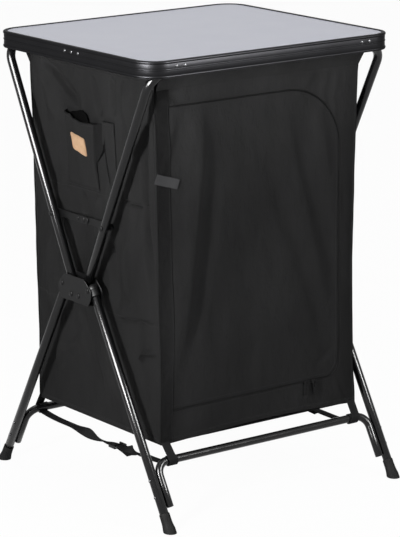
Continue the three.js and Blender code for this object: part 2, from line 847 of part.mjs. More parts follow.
// Back of the cabinet, gathered in wide soft folds
function backPanel() {
  const edges = () => [cabinetBottom, cabinetTop];
  const stand = (x, z) => {
    const inside = within(x, -cabinetX, cabinetX, backFoldWidth)
      * within(z, cabinetBottom, cabinetTop, backFoldWidth);
    return backFoldDepth * inside * (1 + Math.sin(2 * Math.PI * x / backFoldWidth)) / 2;
  };
  const place = (x, z, out, layer) => [x, cabinetY + out - layer * clothThickness, z];
  return turnedOver(foldedSheet(evenly(-cabinetX, cabinetX, backColumns), backRows, edges, stand, place));
}

// Same shape with its faces turned over, for a sheet that is placed facing the other way
function turnedOver(geometry) {
  const index = geometry.index.array;
  for (let i = 0; i < index.length; i += 3) {
    [index[i + 1], index[i + 2]] = [index[i + 2], index[i + 1]];
  }
  geometry.computeVertexNormals();
  return geometry;
}

// Side of the cabinet at the left; the cloth lies flat under the pockets
function sidePanel(hasPockets) {
  const reach = cabinetY - clothThickness - fit;
  const sideTop = cabinetTop + sideHemRise;
  const edges = () => [cabinetBottom, sideTop];
  const pocketFront = slimPocketMiddleY - slimPocketWidth / 2;
  const pocketBack = pocketMiddleY + pocketWidth / 2;
  const pocketLow = pocketTop - pocketHeight;
  const flat = 3 * sideFoldWidth;
  const stand = (y, z) => {
    const inside = within(y, -reach, reach, sideFoldWidth)
      * within(z, cabinetBottom, sideTop, sideFoldWidth);
    const overPocket = hasPockets
      ? within(y, pocketFront - flat, pocketBack + flat, sideFoldWidth)
        * within(z, pocketLow - flat, slimPocketTop + flat, sideFoldWidth)
      : 0;
    const phase = Math.PI * y / sideFoldWidth;
    const wave = Math.sin(phase) + Math.sin(phase * 2 / 5);
    return sideFoldDepth * inside * (1 - overPocket) * (wave + 2) / 4;
  };
  const place = (y, z, out, layer) => [-cabinetX - out + layer * clothThickness, y, z];
  return turnedOver(foldedSheet(evenly(-reach, reach, sideColumns), sideRows, edges, stand, place));
}

// Floor of the cabinet and its shelves: stiffened cloth
function shelf(level) {
  const spacing = (cabinetTop - cabinetBottom) / (shelfCount + 1);
  const low = cabinetBottom + level * spacing;
  const x = cabinetX - clothThickness - fit;
  const y = cabinetY - clothThickness - fit;
  return box(-x, x, -y, y, low, low + shelfThickness);
}

// Line that leaves a point, meets a bar's sleeve circle on its upper side and wraps round it
function wrapLine(from, centre, radius, wrapDegrees) {
  const dy = from[0] - centre[0];
  const dz = from[1] - centre[1];
  const distance = Math.hypot(dy, dz);
  const facing = THREE.MathUtils.radToDeg(Math.atan2(dz, dy));
  const touch = facing + THREE.MathUtils.radToDeg(Math.acos(radius / distance));
  return [from, ...arc(centre[0], centre[1], radius, touch, touch + wrapDegrees, 2 * cornerSteps)];
}

// Top of the front panel: a skirt of cloth that leans out, and a sleeve round the front top bar
// between the brackets
function sleeve() {
  const radius = tubeRadius + fit + sleeveThickness / 2;
  const start = [-cabinetY + clothThickness / 2, cabinetTop + fit + sleeveThickness / 2];
  const line = wrapLine(start, [-barY, barZ], radius, sleeveWrapDegrees);
  const reach = bracketX - bracketWidth / 2 - sleeveGap;
  const along = sleeveSkirt / Math.hypot(line[1][0] - start[0], line[1][1] - start[1]);
  const hem = [0, 1].map((i) => start[i] + (line[1][i] - start[i]) * along);
  const skirt = plateX(stripShape([start, hem], sleeveThickness), -cabinetX, cabinetX);
  return join(skirt, plateX(stripShape(line, sleeveThickness), -reach, reach));
}

// Webbing loop from the cabinet's lower corner round the front brace, over the strap's end
function cornerLoop() {
  const radius = braceRadius + 2 * fit + webbingThickness * 3 / 2;
  const start = [-cabinetY + clothThickness / 2, cabinetBottom - fit - webbingThickness / 2];
  const line = wrapLine(start, [-braceY, braceHeight], radius, loopWrapDegrees);
  return plateX(stripShape(line, webbingThickness), webbingX - webbingWidth / 2,
    webbingX + webbingWidth / 2);
}

// Webbing strap under the cabinet at the right, hooked round both braces
function strap() {
  const radius = braceRadius + fit + webbingThickness / 2;
  const under = braceHeight - radius;
  const front = arc(-braceY, braceHeight, radius, 180 - strapWrapDegrees, 270, 2 * cornerSteps);
  const back = arc(braceY, braceHeight, radius, -90, strapWrapDegrees, 2 * cornerSteps);
  const line = [...front, ...back];
  const shape = stripShape(line, webbingThickness);
  return { geometry: plateX(shape, webbingX - webbingWidth / 2, webbingX + webbingWidth / 2), under };
}

// Adjuster on the right strap: a flat ring that the webbing passes through
function adjuster() {
  const { under } = strap();
  const y = -braceY + adjusterFromBrace;
  const half = webbingWidth / 2 + adjusterMargin;
  const slot = webbingThickness / 2 + adjusterPlay;
  const body = box(webbingX - half, webbingX + half, y, y + adjusterLength,
    under - slot - adjusterThickness, under + slot + adjusterThickness);
  const gap = box(webbingX - webbingWidth / 2 - adjusterPlay, webbingX + webbingWidth / 2 + adjusterPlay,
    y - overrun, y + adjusterLength + overrun, under - slot, under + slot);
  return cut(body, gap);
}

// Zip chain on the front panel, just outside the door's edge
function zipChain() {
  const outline = doorOutline(doorGap + chainWidth / 2 + fit);
  const shape = stripShape(outline, chainWidth);
  const face = -cabinetY - fit;
  return plateY(shape, face - chainThickness, face);
}

const zipRunZ = doorBottom - doorGap - chainWidth / 2 - fit;

// Zip slider with its hanging pull; number 0 is the left one
function slider(number) {
  const x = doorRight - sliderFromZipSide - (1 - number) * sliderPitch;
  const face = -cabinetY - chainThickness - 2 * fit;
  const body = box(x - sliderLength / 2, x + sliderLength / 2, face - sliderThickness, face,
    zipRunZ - sliderHeight / 2, zipRunZ + sliderHeight / 2);
  const top = zipRunZ;
  const low = top - pullLength;
  const front = face - sliderThickness + pullThickness / 2;
  const pull = roundedShape([
    [x - pullWidth / 2, low], [x + pullWidth / 2, low], [x + pullWidth / 2, top], [x - pullWidth / 2, top],
  ], pullWidth / 3);
  pull.holes.push(new THREE.Path([
    [x - pullSlot / 2, low + pullSlot], [x + pullSlot / 2, low + pullSlot],
    [x + pullSlot / 2, top - sliderHeight], [x - pullSlot / 2, top - sliderHeight],
  ].map(([a, b]) => new THREE.Vector2(a, b))));
  return join(body, plateY(pull, front - pullThickness, front));
}

// Tie for the rolled-up door: sewn at the cabinet's left front corner, it slants down over the door
function doorTie() {
  const seam = -cabinetY - fit;
  const left = -cabinetX + fit;
  const right = left + tieLength;
  const front = seam - tieStandOff;
  const band = plateY(shapeOf([
    [left, tieTop - tieHeight], [right, tieTop - tieFall - tieHeight], [right, tieTop - tieFall],
    [left, tieTop],
  ]), front, front + tieThickness);
  const fall = tieFall * tieSeam / tieLength;
  const end = box(left, left + tieSeam, front + tieThickness / 2, seam, tieTop - tieHeight, tieTop - fall);
  return join(band, end);
}

// Plan of a pocket in (x, y), wider where it is sewn to the cloth, drawn in by an inset
function pocketPlan(width, depth, taper, middle, inset) {
  const back = -cabinetX - fit + (inset > 0 ? overrun : 0);
  const front = -cabinetX - fit - depth + inset;
  const wide = width / 2 - inset;
  const narrow = wide - taper;
  return shapeOf([
    [back, middle - wide], [back, middle + wide], [front, middle + narrow], [front, middle - narrow],
  ]);
}

// Open-topped pocket sewn to the left side
function pocket(width, height, depth, taper, top, middle) {
  const outer = plateZ(pocketPlan(width, depth, taper, middle, 0), top - height, top);
  const inside = plateZ(pocketPlan(width, depth, taper, middle, clothThickness),
    top - height + clothThickness, top + overrun);
  return cut(outer, inside);
}

// Bare leather patch on the large pocket
function label() {
  const back = -cabinetX - 2 * fit - pocketDepth;
  const top = pocketTop - labelDrop;
  return box(back - labelThickness, back, pocketMiddleY - labelWidth / 2, pocketMiddleY + labelWidth / 2,
    top - labelHeight, top);
}

const cupboard = new THREE.Group();

function add(name, geometry, piece) {
  const mesh = new THREE.Mesh(geometry, piece);
  mesh.name = name;
  cupboard.add(mesh);
}

// Adds a left piece and its mirror image at the right
function addPair(name, geometry, piece) {
  add(`left_${name}`, geometry, piece);
  add(`right_${name}`, mirrored(geometry, 'x'), piece);
}

add('tabletop_board', board(), boardMaterial);
add('edge_profile', rim(), rimMaterial);
add('edge_joiner', rimJoiner(), plateMaterial);
const rightBracket = bracket();
add('front_right_bracket', rightBracket, plasticMaterial);
add('front_left_bracket', mirrored(rightBracket, 'x'), plasticMaterial);
add('back_right_bracket', mirrored(rightBracket, 'y'), plasticMaterial);
add('back_left_bracket', mirrored(mirrored(rightBracket, 'x'), 'y'), plasticMaterial);

add('front_upper_frame', upperFrame(-1), tubeMaterial);
add('back_upper_frame', upperFrame(1), tubeMaterial);
addPair('hub_plate', hubPlate(), plateMaterial);
addPair('hub_pins', hubBackPlate(), plateMaterial);
addPair('front_stay', stay(-1), plateMaterial);
addPair('back_stay', stay(1), plateMaterial);

addPair('front_leg', lowerLeg(), tubeMaterial);
addPair('back_leg', mirrored(lowerLeg(), 'y'), tubeMaterial);
addPair('front_leg_cap', legCap(), plasticMaterial);
addPair('back_leg_cap', mirrored(legCap(), 'y'), plasticMaterial);
addPair('front_foot', foot(), rubberMaterial);
addPair('back_foot', mirrored(foot(), 'y'), rubberMaterial);
add('front_brace', brace(), tubeMaterial);
add('back_brace', mirrored(brace(), 'y'), tubeMaterial);

add('cabinet_front', frontPanel(), clothMaterial);
add('cabinet_back', backPanel(), clothMaterial);
add('cabinet_left_side', sidePanel(true), clothMaterial);
add('cabinet_right_side', mirrored(sidePanel(false), 'x'), clothMaterial);
add('cabinet_floor', shelf(0), clothMaterial);
for (let level = 1; level <= shelfCount; level++) {
  add(`shelf_${level}`, shelf(level), clothMaterial);
}
add('front_sleeve', sleeve(), clothMaterial);
add('back_sleeve', mirrored(sleeve(), 'y'), clothMaterial);
add('door', door(), clothMaterial);
add('zip_chain', zipChain(), zipMaterial);
add('left_zip_slider', slider(0), zipMaterial);
add('right_zip_slider', slider(1), zipMaterial);
add('door_tie', doorTie(), webbingMaterial);
add('front_right_loop', cornerLoop(), webbingMaterial);
add('front_left_loop', mirrored(cornerLoop(), 'x'), webbingMaterial);
add('back_right_loop', mirrored(cornerLoop(), 'y'), webbingMaterial);
add('back_left_loop', mirrored(mirrored(cornerLoop(), 'x'), 'y'), webbingMaterial);
add('right_strap', strap().geometry, webbingMaterial);
add('left_strap', mirrored(strap().geometry, 'x'), webbingMaterial);
add('right_adjuster', adjuster(), plasticMaterial);
add('left_adjuster', mirrored(adjuster(), 'x'), plasticMaterial);
add('large_pocket', pocket(pocketWidth, pocketHeight, pocketDepth, pocketTaper, pocketTop,
  pocketMiddleY), clothMaterial);
add('slim_pocket', pocket(slimPocketWidth, slimPocketHeight, slimPocketDepth, slimPocketTaper,
  slimPocketTop, slimPocketMiddleY), clothMaterial);
add('pocket_label', label(), labelMaterial);

export default cupboard;
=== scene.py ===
"""Folding camping storage cupboard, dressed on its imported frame. Lengths are in millimetres until a mesh is made."""
from math import acos, atan2, cos, degrees, dist, exp, hypot, pi, radians, sin, sqrt

import bmesh
import bpy
from mathutils import Matrix, Vector, noise


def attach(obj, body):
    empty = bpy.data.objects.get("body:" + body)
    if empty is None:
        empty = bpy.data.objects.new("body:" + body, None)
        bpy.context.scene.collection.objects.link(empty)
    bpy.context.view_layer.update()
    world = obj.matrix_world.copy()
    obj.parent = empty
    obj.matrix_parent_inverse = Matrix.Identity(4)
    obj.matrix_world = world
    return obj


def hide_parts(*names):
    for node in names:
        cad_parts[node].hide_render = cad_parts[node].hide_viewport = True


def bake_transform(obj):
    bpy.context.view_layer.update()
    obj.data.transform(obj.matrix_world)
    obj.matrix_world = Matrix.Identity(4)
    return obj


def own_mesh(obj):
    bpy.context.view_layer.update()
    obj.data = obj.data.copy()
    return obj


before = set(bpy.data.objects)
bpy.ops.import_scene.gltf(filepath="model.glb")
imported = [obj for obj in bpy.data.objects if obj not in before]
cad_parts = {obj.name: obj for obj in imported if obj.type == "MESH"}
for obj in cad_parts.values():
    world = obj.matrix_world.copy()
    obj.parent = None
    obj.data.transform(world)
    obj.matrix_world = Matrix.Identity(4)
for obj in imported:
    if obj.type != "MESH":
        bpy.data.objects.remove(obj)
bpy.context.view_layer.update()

# Sizes of the solids that the pieces stand for
METRE = 0.001
fit = 0.3
half_width, half_depth, table_height, table_corner = 300, 267.5, 910, 50
rim_height, rim_recess, rim_wall, rim_bead, rim_rib = 33, 1.8, 2.4, 6, 3
lip_reach, lip_thick, ledge_reach, ledge_thick, board_thick = 9, 1.2, 11, 1.5, 4
tube_radius, tube_wall, leg_x, bar_y, bar_z, frame_bend = 9, 1.2, 281, 250, 886, 42
brace_radius, brace_x, brace_y, brace_z, brace_bend, brace_end_z = 8, 263.7, 225.797, 119, 26, 42
foot_y = 295
upper_pivot = (12.5, 414.505)
upper_length = hypot(bar_y - upper_pivot[0], bar_z - upper_pivot[1])
upper_slope = ((bar_y - upper_pivot[0]) / upper_length, (bar_z - upper_pivot[1]) / upper_length)
cap_radius = hypot(tube_radius + fit, 5 + fit) + 1
pivot_rise = 16.5
pivot_apart = (tube_radius + cap_radius + 0.45 + pivot_rise * upper_slope[0]) / upper_slope[1]
lower_pivot = (upper_pivot[0] + pivot_apart, upper_pivot[1] + pivot_rise)
lower_length = hypot(foot_y - lower_pivot[0], lower_pivot[1])
lower_slope = ((foot_y - lower_pivot[0]) / lower_length, -lower_pivot[1] / lower_length)
stay_z = upper_pivot[1] + 148.5
stay_y = upper_pivot[0] + (stay_z - upper_pivot[1]) / upper_slope[1] * upper_slope[0]
stay_radius, stay_thick, stay_lap = 7, 2.5, 9
cab_x, cab_y, cab_low, cab_top, side_top = 241, 213, 147, 846, 866
door_left, door_right, door_low, door_high = -213, 199, 216, 810
door_top_radius, door_low_radius, door_gap = 130, 30, 0.6
shelf_zs, shelf_thick = (380, 613), 4
cloth_thick, web_thick, web_wide, web_x = 1.2, 1.4, 20, 227
rivet_z, rivet_shank, rivet_head, rivet_dome = 898.5, 2, 3.2, 1.4
pin_radius, pin_head, pin_dome, plate_thick = 3, 5.5, 1.8, 2.2
round_sides = 32
SIDES, ENDS = (("left", -1), ("right", 1)), (("front", -1), ("back", 1))


# ---- Plain geometry: a shape is (points, faces) ----

def smooth(t):
    t = min(max(t, 0.0), 1.0)
    return t * t * (3 - 2 * t)


def mix(a, b, t):
    return a + (b - a) * t


def split(low, high, count):
    return [low + (high - low) * i / count for i in range(count + 1)]


def evenly(low, high, pitch):
    return split(low, high, max(int(round((high - low) / pitch)), 1))


def swell(share, power=1.0):
    """0 at both ends of a span and 1 in its middle."""
    return sin(pi * min(max(share, 0), 1) ** power)


def curve(points, t):
    """Smooth value at t through (place, value) points."""
    if t <= points[0][0]:
        return points[0][1]
    for (a, va), (b, vb) in zip(points, points[1:]):
        if t <= b:
            return mix(va, vb, smooth((t - a) / (b - a)))
    return points[-1][1]


def arc(cx, cy, radius, start, stop, steps):
    angles = [radians(a) for a in split(start, stop, steps)]
    return [(cx + radius * cos(a), cy + radius * sin(a)) for a in angles]


def box(x, y, half_x, half_y):
    """Corners of a rectangle about a point."""
    return [(x - half_x, y - half_y), (x + half_x, y - half_y), (x + half_x, y + half_y), (x - half_x, y + half_y)]


def joined(*shapes):
    """One shape made of several."""
    points, faces = [], []
    for more, their_faces in shapes:
        start = len(points)
        points += more
        faces += [tuple(i + start for i in face) for face in their_faces]
    return points, faces


def mirrored(shape, sx=1, sy=1):
    points, faces = shape
    return [(x * sx, y * sy, z) for x, y, z in points], [f[::-1] for f in faces] if sx * sy < 0 else faces


def placed(shape, matrix):
    return [tuple(matrix @ Vector(p)) for p in shape[0]], shape[1]


def grid(rows, closed_across=False, closed_along=False):
    """Faces through rows of points that all have the same length."""
    across, along = len(rows[0]), len(rows)
    faces = []
    for j in range(along if closed_along else along - 1):
        for i in range(across if closed_across else across - 1):
            i2, j2 = (i + 1) % across, (j + 1) % along
            faces.append((j * across + i, j * across + i2, j2 * across + i2, j2 * across + i))
    return [p for row in rows for p in row], faces


def capped(rows):
    """Faces through loops of points, and a flat one at each end."""
    points, faces = grid(rows, closed_across=True)
    count, last = len(rows[0]), len(points) - len(rows[0])
    return points, faces + [tuple(range(count))[::-1], tuple(range(last, last + count))]


def tangents(path):
    path = [Vector(p) for p in path]
    return [(path[min(i + 1, len(path) - 1)] - path[max(i - 1, 0)]).normalized() for i in range(len(path))]


def ring_frames(path):
    """Two unit vectors across the path at each point, turned no more than the path turns."""
    along = tangents(path)
    side = along[0].orthogonal()
    frames = []
    for i, tangent in enumerate(along):
        if i:
            side = along[i - 1].rotation_difference(tangent) @ side
        side = (side - tangent * side.dot(tangent)).normalized()
        frames.append((side.copy(), tangent.cross(side)))
    return frames


def tube(path, radius, wall=None, sides=round_sides, radii=None):
    """Round tube along a path, hollow where a wall is given, else with closed ends."""
    frames = ring_frames(path)
    turns = [2 * pi * k / sides for k in range(sides)]

    def rings(scale):
        rows = []
        for i, (p, (a, b)) in enumerate(zip(path, frames)):
            r = (radii[i] if radii else radius) * scale
            rows.append([tuple(Vector(p) + a * (r * cos(q)) + b * (r * sin(q))) for q in turns])
        return rows

    outer = rings(1)
    if wall is None:
        return capped(outer)
    inner = rings((radius - wall) / radius)
    lip = 0.3 * wall
    ends = []
    for at, beside in ((0, 1), (-1, -2)):
        middle = Vector(path[at])
        out = (middle - Vector(path[beside])).normalized() * lip
        ends.append([[tuple(Vector(p) + out + (middle - Vector(p)).normalized() * (way * lip)) for p in ring[at]]
                     for ring, way in ((outer, 1), (inner, -1))])
    loop = [ends[0][0]] + outer + ends[1] + inner[::-1] + [ends[0][1]]
    return grid(loop, closed_across=True, closed_along=True)


def lathe(profile, sides=round_sides):
    """Solid of revolution round Z through (radius, height) points."""
    turns = [2 * pi * k / sides for k in range(sides)]
    return grid([[(r * cos(q), r * sin(q), z) for q in turns] for r, z in profile], closed_across=True)


def rounded(points, radius, steps=6):
    """Outline with its corners rounded off."""
    out = []
    for i, corner in enumerate(points):
        corner = Vector(corner)
        before, after = Vector(points[i - 1]) - corner, Vector(points[(i + 1) % len(points)]) - corner
        r = min(radius, before.length / 2.1, after.length / 2.1)
        start, stop = corner + before.normalized() * r, corner + after.normalized() * r
        for t in split(0, 1, steps):
            out.append(tuple(start * (1 - t) ** 2 + corner * (2 * t * (1 - t)) + stop * t * t))
    return out


def slab(outline, low, high, place, bevel=0.35):
    """Plate between two levels with its edges eased. place(a, b, level) gives the point in space."""
    count = len(outline)
    turn = sum(outline[i - 1][0] * outline[i][1] - outline[i][0] * outline[i - 1][1] for i in range(count))
    eased = []
    for i, p in enumerate(outline):
        p = Vector(p)
        along = (p - Vector(outline[i - 1])).normalized() + (Vector(outline[(i + 1) % count]) - p).normalized()
        eased.append(p + Vector((-along.y, along.x)).normalized() * (bevel if turn > 0 else -bevel))
    levels = ((eased, low), (outline, low + bevel), (outline, high - bevel), (eased, high))
    return capped([[tuple(place(p[0], p[1], level)) for p in loop] for loop, level in levels])


def pad(middle, half, corner, low, high, place, bevel=0.35):
    """Plate with the outline of a rounded rectangle."""
    return slab(rounded(box(*middle, *half), corner), low, high, place, bevel)


def on_x(a, b, level):
    return level, a, b


def on_y(a, b, level):
    return a, level, b


def on_z(a, b, level):
    return a, b, level


def upright(direction):
    """Turn that takes the Z axis to a direction."""
    return Vector((0, 0, 1)).rotation_difference(Vector(direction)).to_matrix().to_4x4()


def head(radius, height, at, direction, sides=24):
    """Domed rivet head that stands on a face."""
    profile = [(a * radius, b * height) for a, b in (
        (0, 0), (1, 0), (1, 0.2), (0.94, 0.45), (0.75, 0.75), (0.42, 0.95), (0, 1))]
    return placed(lathe(profile, sides), Matrix.Translation(at) @ upright(direction))


def rod(start, stop, radius, sides=16):
    return tube([start, stop], radius, sides=sides)


def rivet(start, stop):
    """Head of a rivet at start, and its shank on to stop."""
    return (head(rivet_head, rivet_dome, start, Vector(start) - Vector(stop)), rod(start, stop, rivet_shank))


def leg_point(pivot, slope, x, distance, side):
    return x, side * (pivot[0] + slope[0] * distance), pivot[1] + slope[1] * distance


def u_path(pivot, slope, x, start, stop, bend, side, steps=14):
    """Route of a U of tube: up one leg, across and down the other."""
    toward = 1 if stop > start else -1
    half = [(x, start), (x, (start + stop) / 2)]
    half += [(x - bend + a, stop + toward * (b - bend)) for a, b in arc(0, 0, bend, 0, 90, steps)]
    return [leg_point(pivot, slope, a, b, side) for a, b in half + [(-a, b) for a, b in half[::-1]]]


def section_sweep(path, across, section):
    """Section carried along a path; across gives the section's width direction at each point."""
    rows = []
    for p, tangent, wide in zip(path, tangents(path), across):
        wide = Vector(wide)
        wide = (wide - tangent * wide.dot(tangent)).normalized()
        through = tangent.cross(wide)
        rows.append([tuple(Vector(p) + wide * a + through * b) for a, b in section])
    return capped(rows)


def web_section(width=web_wide, thick=web_thick):
    """Section of woven webbing: flat with soft edges."""
    w, t = width / 2, thick / 2
    face = [(-w + 0.5, -t), (-w / 2, -t * 0.85), (0, -t * 0.95), (w / 2, -t * 0.85), (w - 0.5, -t)]
    return [(-w, 0)] + face + [(w, 0)] + [(a, -b) for a, b in face[::-1]]


def spaced(path, pitch=None, count=None):
    """Points at even spacing along a path, a pitch apart or a given number of them."""
    path = [Vector(p) for p in path]
    lengths = [0.0]
    for a, b in zip(path, path[1:]):
        lengths.append(lengths[-1] + (b - a).length)
    steps = count - 1 if count else max(int(round(lengths[-1] / pitch)), 1)
    out, i = [], 0
    for k in range(steps + 1):
        place = lengths[-1] * k / steps
        while i < len(path) - 2 and lengths[i + 1] < place:
            i += 1
        span = lengths[i + 1] - lengths[i]
        out.append(path[i].lerp(path[i + 1], (place - lengths[i]) / span if span else 0))
    return out


def smooth_path(points, pitch):
    """Curve through the points, sampled evenly."""
    pts = [Vector(p) for p in points]
    out = []
    for i in range(len(pts) - 1):
        p0, p1, p2, p3 = pts[max(i - 1, 0)], pts[i], pts[i + 1], pts[min(i + 2, len(pts) - 1)]
        for t in split(0, 1, 12)[:-1]:
            out.append(0.5 * ((2 * p1) + (p2 - p0) * t + (2 * p0 - 5 * p1 + 4 * p2 - p3) * t * t
                              + (3 * p1 - p0 - 3 * p2 + p3) * t ** 3))
    return spaced(out + [pts[-1]], pitch)


# ---- Materials ----

def material(name, color, roughness, metallic=0.0, **sockets):
    """Principled material with its node tree, ready for detail."""
    mat = bpy.data.materials.new(name)
    mat.use_nodes = True
    shader = mat.node_tree.nodes["Principled BSDF"]
    shader.inputs["Base Color"].default_value = (*color, 1)
    shader.inputs["Roughness"].default_value = roughness
    shader.inputs["Metallic"].default_value = metallic
    for key, value in sockets.items():
        shader.inputs[key.replace("_", " ")].default_value = value
    return mat


def node(mat, kind, **inputs):
    made = mat.node_tree.nodes.new(kind)
    for key, value in inputs.items():
        made.inputs[key.replace("_", " ")].default_value = value
    return made


def link(mat, a, out, b, into):
    mat.node_tree.links.new(a.outputs[out], b.inputs[into])


def to_shader(mat, a, out, into):
    link(mat, a, out, mat.node_tree.nodes["Principled BSDF"], into)


def object_place(mat, stretch=(1, 1, 1)):
    """Place on the object in metres, stretched by a mapping that is set on its own socket."""
    mapping = node(mat, "ShaderNodeMapping", Scale=stretch)
    link(mat, node(mat, "ShaderNodeTexCoord"), "Object", mapping, "Vector")
    return mapping


def noise_at(mat, scale, detail=4.0, roughness=0.5, stretch=(1, 1, 1)):
    texture = node(mat, "ShaderNodeTexNoise", Scale=scale, Detail=detail, Roughness=roughness)
    link(mat, object_place(mat, stretch), "Vector", texture, "Vector")
    return texture


def bands(mat, axis, pitch, distortion=0.0):
    """Even ribs across one axis, a pitch in metres apart."""
    texture = node(mat, "ShaderNodeTexWave", Scale=0.314 / pitch, Distortion=distortion)
    texture.wave_type = "BANDS"
    texture.bands_direction = axis
    link(mat, object_place(mat), "Vector", texture, "Vector")
    return texture


def combine(mat, kind, a, b, out):
    made = node(mat, "ShaderNodeMath")
    made.operation = kind
    link(mat, a, out, made, 0)
    link(mat, b, out, made, 1)
    return made


def bump(mat, source, strength, depth, after=None, out="Fac"):
    """Bump from a height; depth is in metres."""
    made = node(mat, "ShaderNodeBump", Strength=strength, Distance=depth)
    link(mat, source, out, made, "Height")
    if after:
        link(mat, after, "Normal", made, "Normal")
    to_shader(mat, made, "Normal", "Normal")
    return made


def vary(mat, source, into, low, high, start=0.3, stop=0.7):
    """Drives roughness, or colour where low and high are colours, from a texture."""
    ramp = node(mat, "ShaderNodeValToRGB")
    for element, place, value in zip(ramp.color_ramp.elements, (start, stop), (low, high)):
        element.position = place
        element.color = (*value, 1) if isinstance(value, tuple) else (value, value, value, 1)
    link(mat, source, "Fac", ramp, "Fac")
    to_shader(mat, ramp, "Color", into)
    return ramp


def shade_along(mat, axis, start, stop, low, high):
    """Factor that runs from low to high between two places along an axis of the object."""
    split_place = node(mat, "ShaderNodeSeparateXYZ")
    link(mat, object_place(mat), "Vector", split_place, "Vector")
    made = node(mat, "ShaderNodeMapRange", From_Min=start, From_Max=stop, To_Min=low, To_Max=high)
    link(mat, split_place, axis, made, "Value")
    return made


def surface(name, color, roughness, metallic=0.0, colors=None, rough=None, grain=None, **sockets):
    """Material whose colour and roughness vary as (noise, low, high), with a grain of (noise, strength, depth)."""
    mat = material(name, color, roughness, metallic, **sockets)
    for into, varied in (("Base Color", colors), ("Roughness", rough)):
        if varied:
            vary(mat, noise_at(mat, *varied[0]), into, *varied[1:])
    bump(mat, noise_at(mat, *grain[0]), *grain[1:])
    return mat


def cloth_material(name, first, second, dark, light, weave=0.0009, painted_light_by_height=None, edge=None):
    """Woven polyester: crossed threads, slubs, soft creasing and patches; painted light makes its colour lighter
    towards the top, and painted shade makes it darker towards an edge.
    """
    mat = material(name, light, 0.8, Specular_IOR_Level=0.01)
    color = vary(mat, noise_at(mat, 9.0, 6.0, 0.6, (1, 1, 0.45)), "Base Color", dark, light, 0.35, 0.68)
    # Painted light and shade: the colour is scaled up with height and down towards one edge.
    if painted_light_by_height:
        factor = shade_along(mat, "Z", *painted_light_by_height)
        if edge:
            factor = combine(mat, "MULTIPLY", factor, shade_along(mat, "X", *edge), "Result")
        scaled = node(mat, "ShaderNodeVectorMath")
        scaled.operation = "SCALE"
        link(mat, color, "Color", scaled, "Vector")
        link(mat, factor, "Value" if edge else "Result", scaled, "Scale")
        to_shader(mat, scaled, "Vector", "Base Color")
    threads = combine(mat, "ADD", bands(mat, first, weave, 0.35), bands(mat, second, weave, 0.35), "Fac")
    soft = bump(mat, noise_at(mat, 38.0, 5.0, 0.55, (1, 1, 0.6)), 0.6, 0.007)
    fuzz = bump(mat, noise_at(mat, 420.0, 2.0), 0.35, 0.0004, soft)
    bump(mat, threads, 0.4, 0.00025, fuzz, "Value")
    return mat


def webbing_material(name, along, color, pitch=0.0016):
    """Ribbed webbing: cords across it and a twill of threads."""
    mat = material(name, color, 0.75, Specular_IOR_Level=0.04)
    vary(mat, noise_at(mat, 30.0), "Base Color", tuple(0.75 * c for c in color), color)
    bump(mat, bands(mat, along, pitch, 0.3), 0.6, 0.0004, bump(mat, noise_at(mat, 600.0, 2.0), 0.4, 0.0003))
    return mat


def paint_material(name, color, low, high, shine, peel=0.06):
    """Coated steel: orange peel, handling marks and fine scratches."""
    mat = material(name, color, low, Specular_IOR_Level=shine)
    vary(mat, noise_at(mat, 22.0, 6.0, 0.65), "Roughness", low, high, 0.4, 0.75)
    bump(mat, noise_at(mat, 60.0, 3.0, 0.5), 0.05, 0.0004, bump(mat, noise_at(mat, 700.0, 2.0), peel, 0.0002))
    return mat


CLOTH_DARK, CLOTH_LIGHT = (0.0205, 0.0205, 0.0207), (0.0275, 0.0275, 0.0278)
# The front and side cloth have painted light, lighter towards their tops; the front also has painted shade, darker
# towards its right edge.
front_cloth = cloth_material("cloth_front", "X", "Z", CLOTH_DARK, CLOTH_LIGHT, painted_light_by_height=(0.6, 0.84, 0.96, 1.42),
                             edge=(0.192, 0.232, 1, 0.72))
side_cloth = cloth_material("cloth_side", "Y", "Z", CLOTH_DARK, CLOTH_LIGHT, painted_light_by_height=(0.45, 0.86, 0.92, 1.22))
flat_cloth = cloth_material("cloth_flat", "X", "Y", CLOTH_DARK, CLOTH_LIGHT)
# Darker cloth for the tapes and bindings; on the big pocket's gusset it is painted shade.
tape_and_shade_cloth = cloth_material("cloth_tape_and_shade", "X", "Z", (0.0135, 0.0135, 0.0137), (0.0195, 0.0195, 0.0197), 0.0013)
# Near-black cloth that is painted shade in the pockets' hollows and beside the slim pocket.
painted_shade_cloth = cloth_material("cloth_painted_shade", "Y", "Z", (0.002, 0.002, 0.002), (0.005, 0.005, 0.0052), 0.0016)
strap_web = webbing_material("webbing_strap", "Y", (0.015, 0.015, 0.0155))
tie_web = webbing_material("webbing_tie", "X", (0.062, 0.062, 0.064))
tube_paint = paint_material("tube_paint", (0.006, 0.006, 0.0064), 0.19, 0.27, 0.25)
plate_paint = paint_material("plate_paint", (0.008, 0.008, 0.0083), 0.4, 0.55, 0.09, 0.2)

rim_metal = material("rim_metal", (0.0135, 0.0135, 0.0146), 0.3, 0.85, Specular_IOR_Level=0.3,
                     Specular_Tint=(0.42, 0.42, 0.42, 1))
vary(rim_metal, noise_at(rim_metal, 14.0, 5.0, 0.6), "Roughness", 0.34, 0.42)
die_lines = bump(rim_metal, bands(rim_metal, "Z", 0.0011, 0.15), 0.12, 0.00012)
bump(rim_metal, noise_at(rim_metal, 900.0, 2.0, 0.5, (1, 1, 0.1)), 0.12, 0.0001, die_lines)

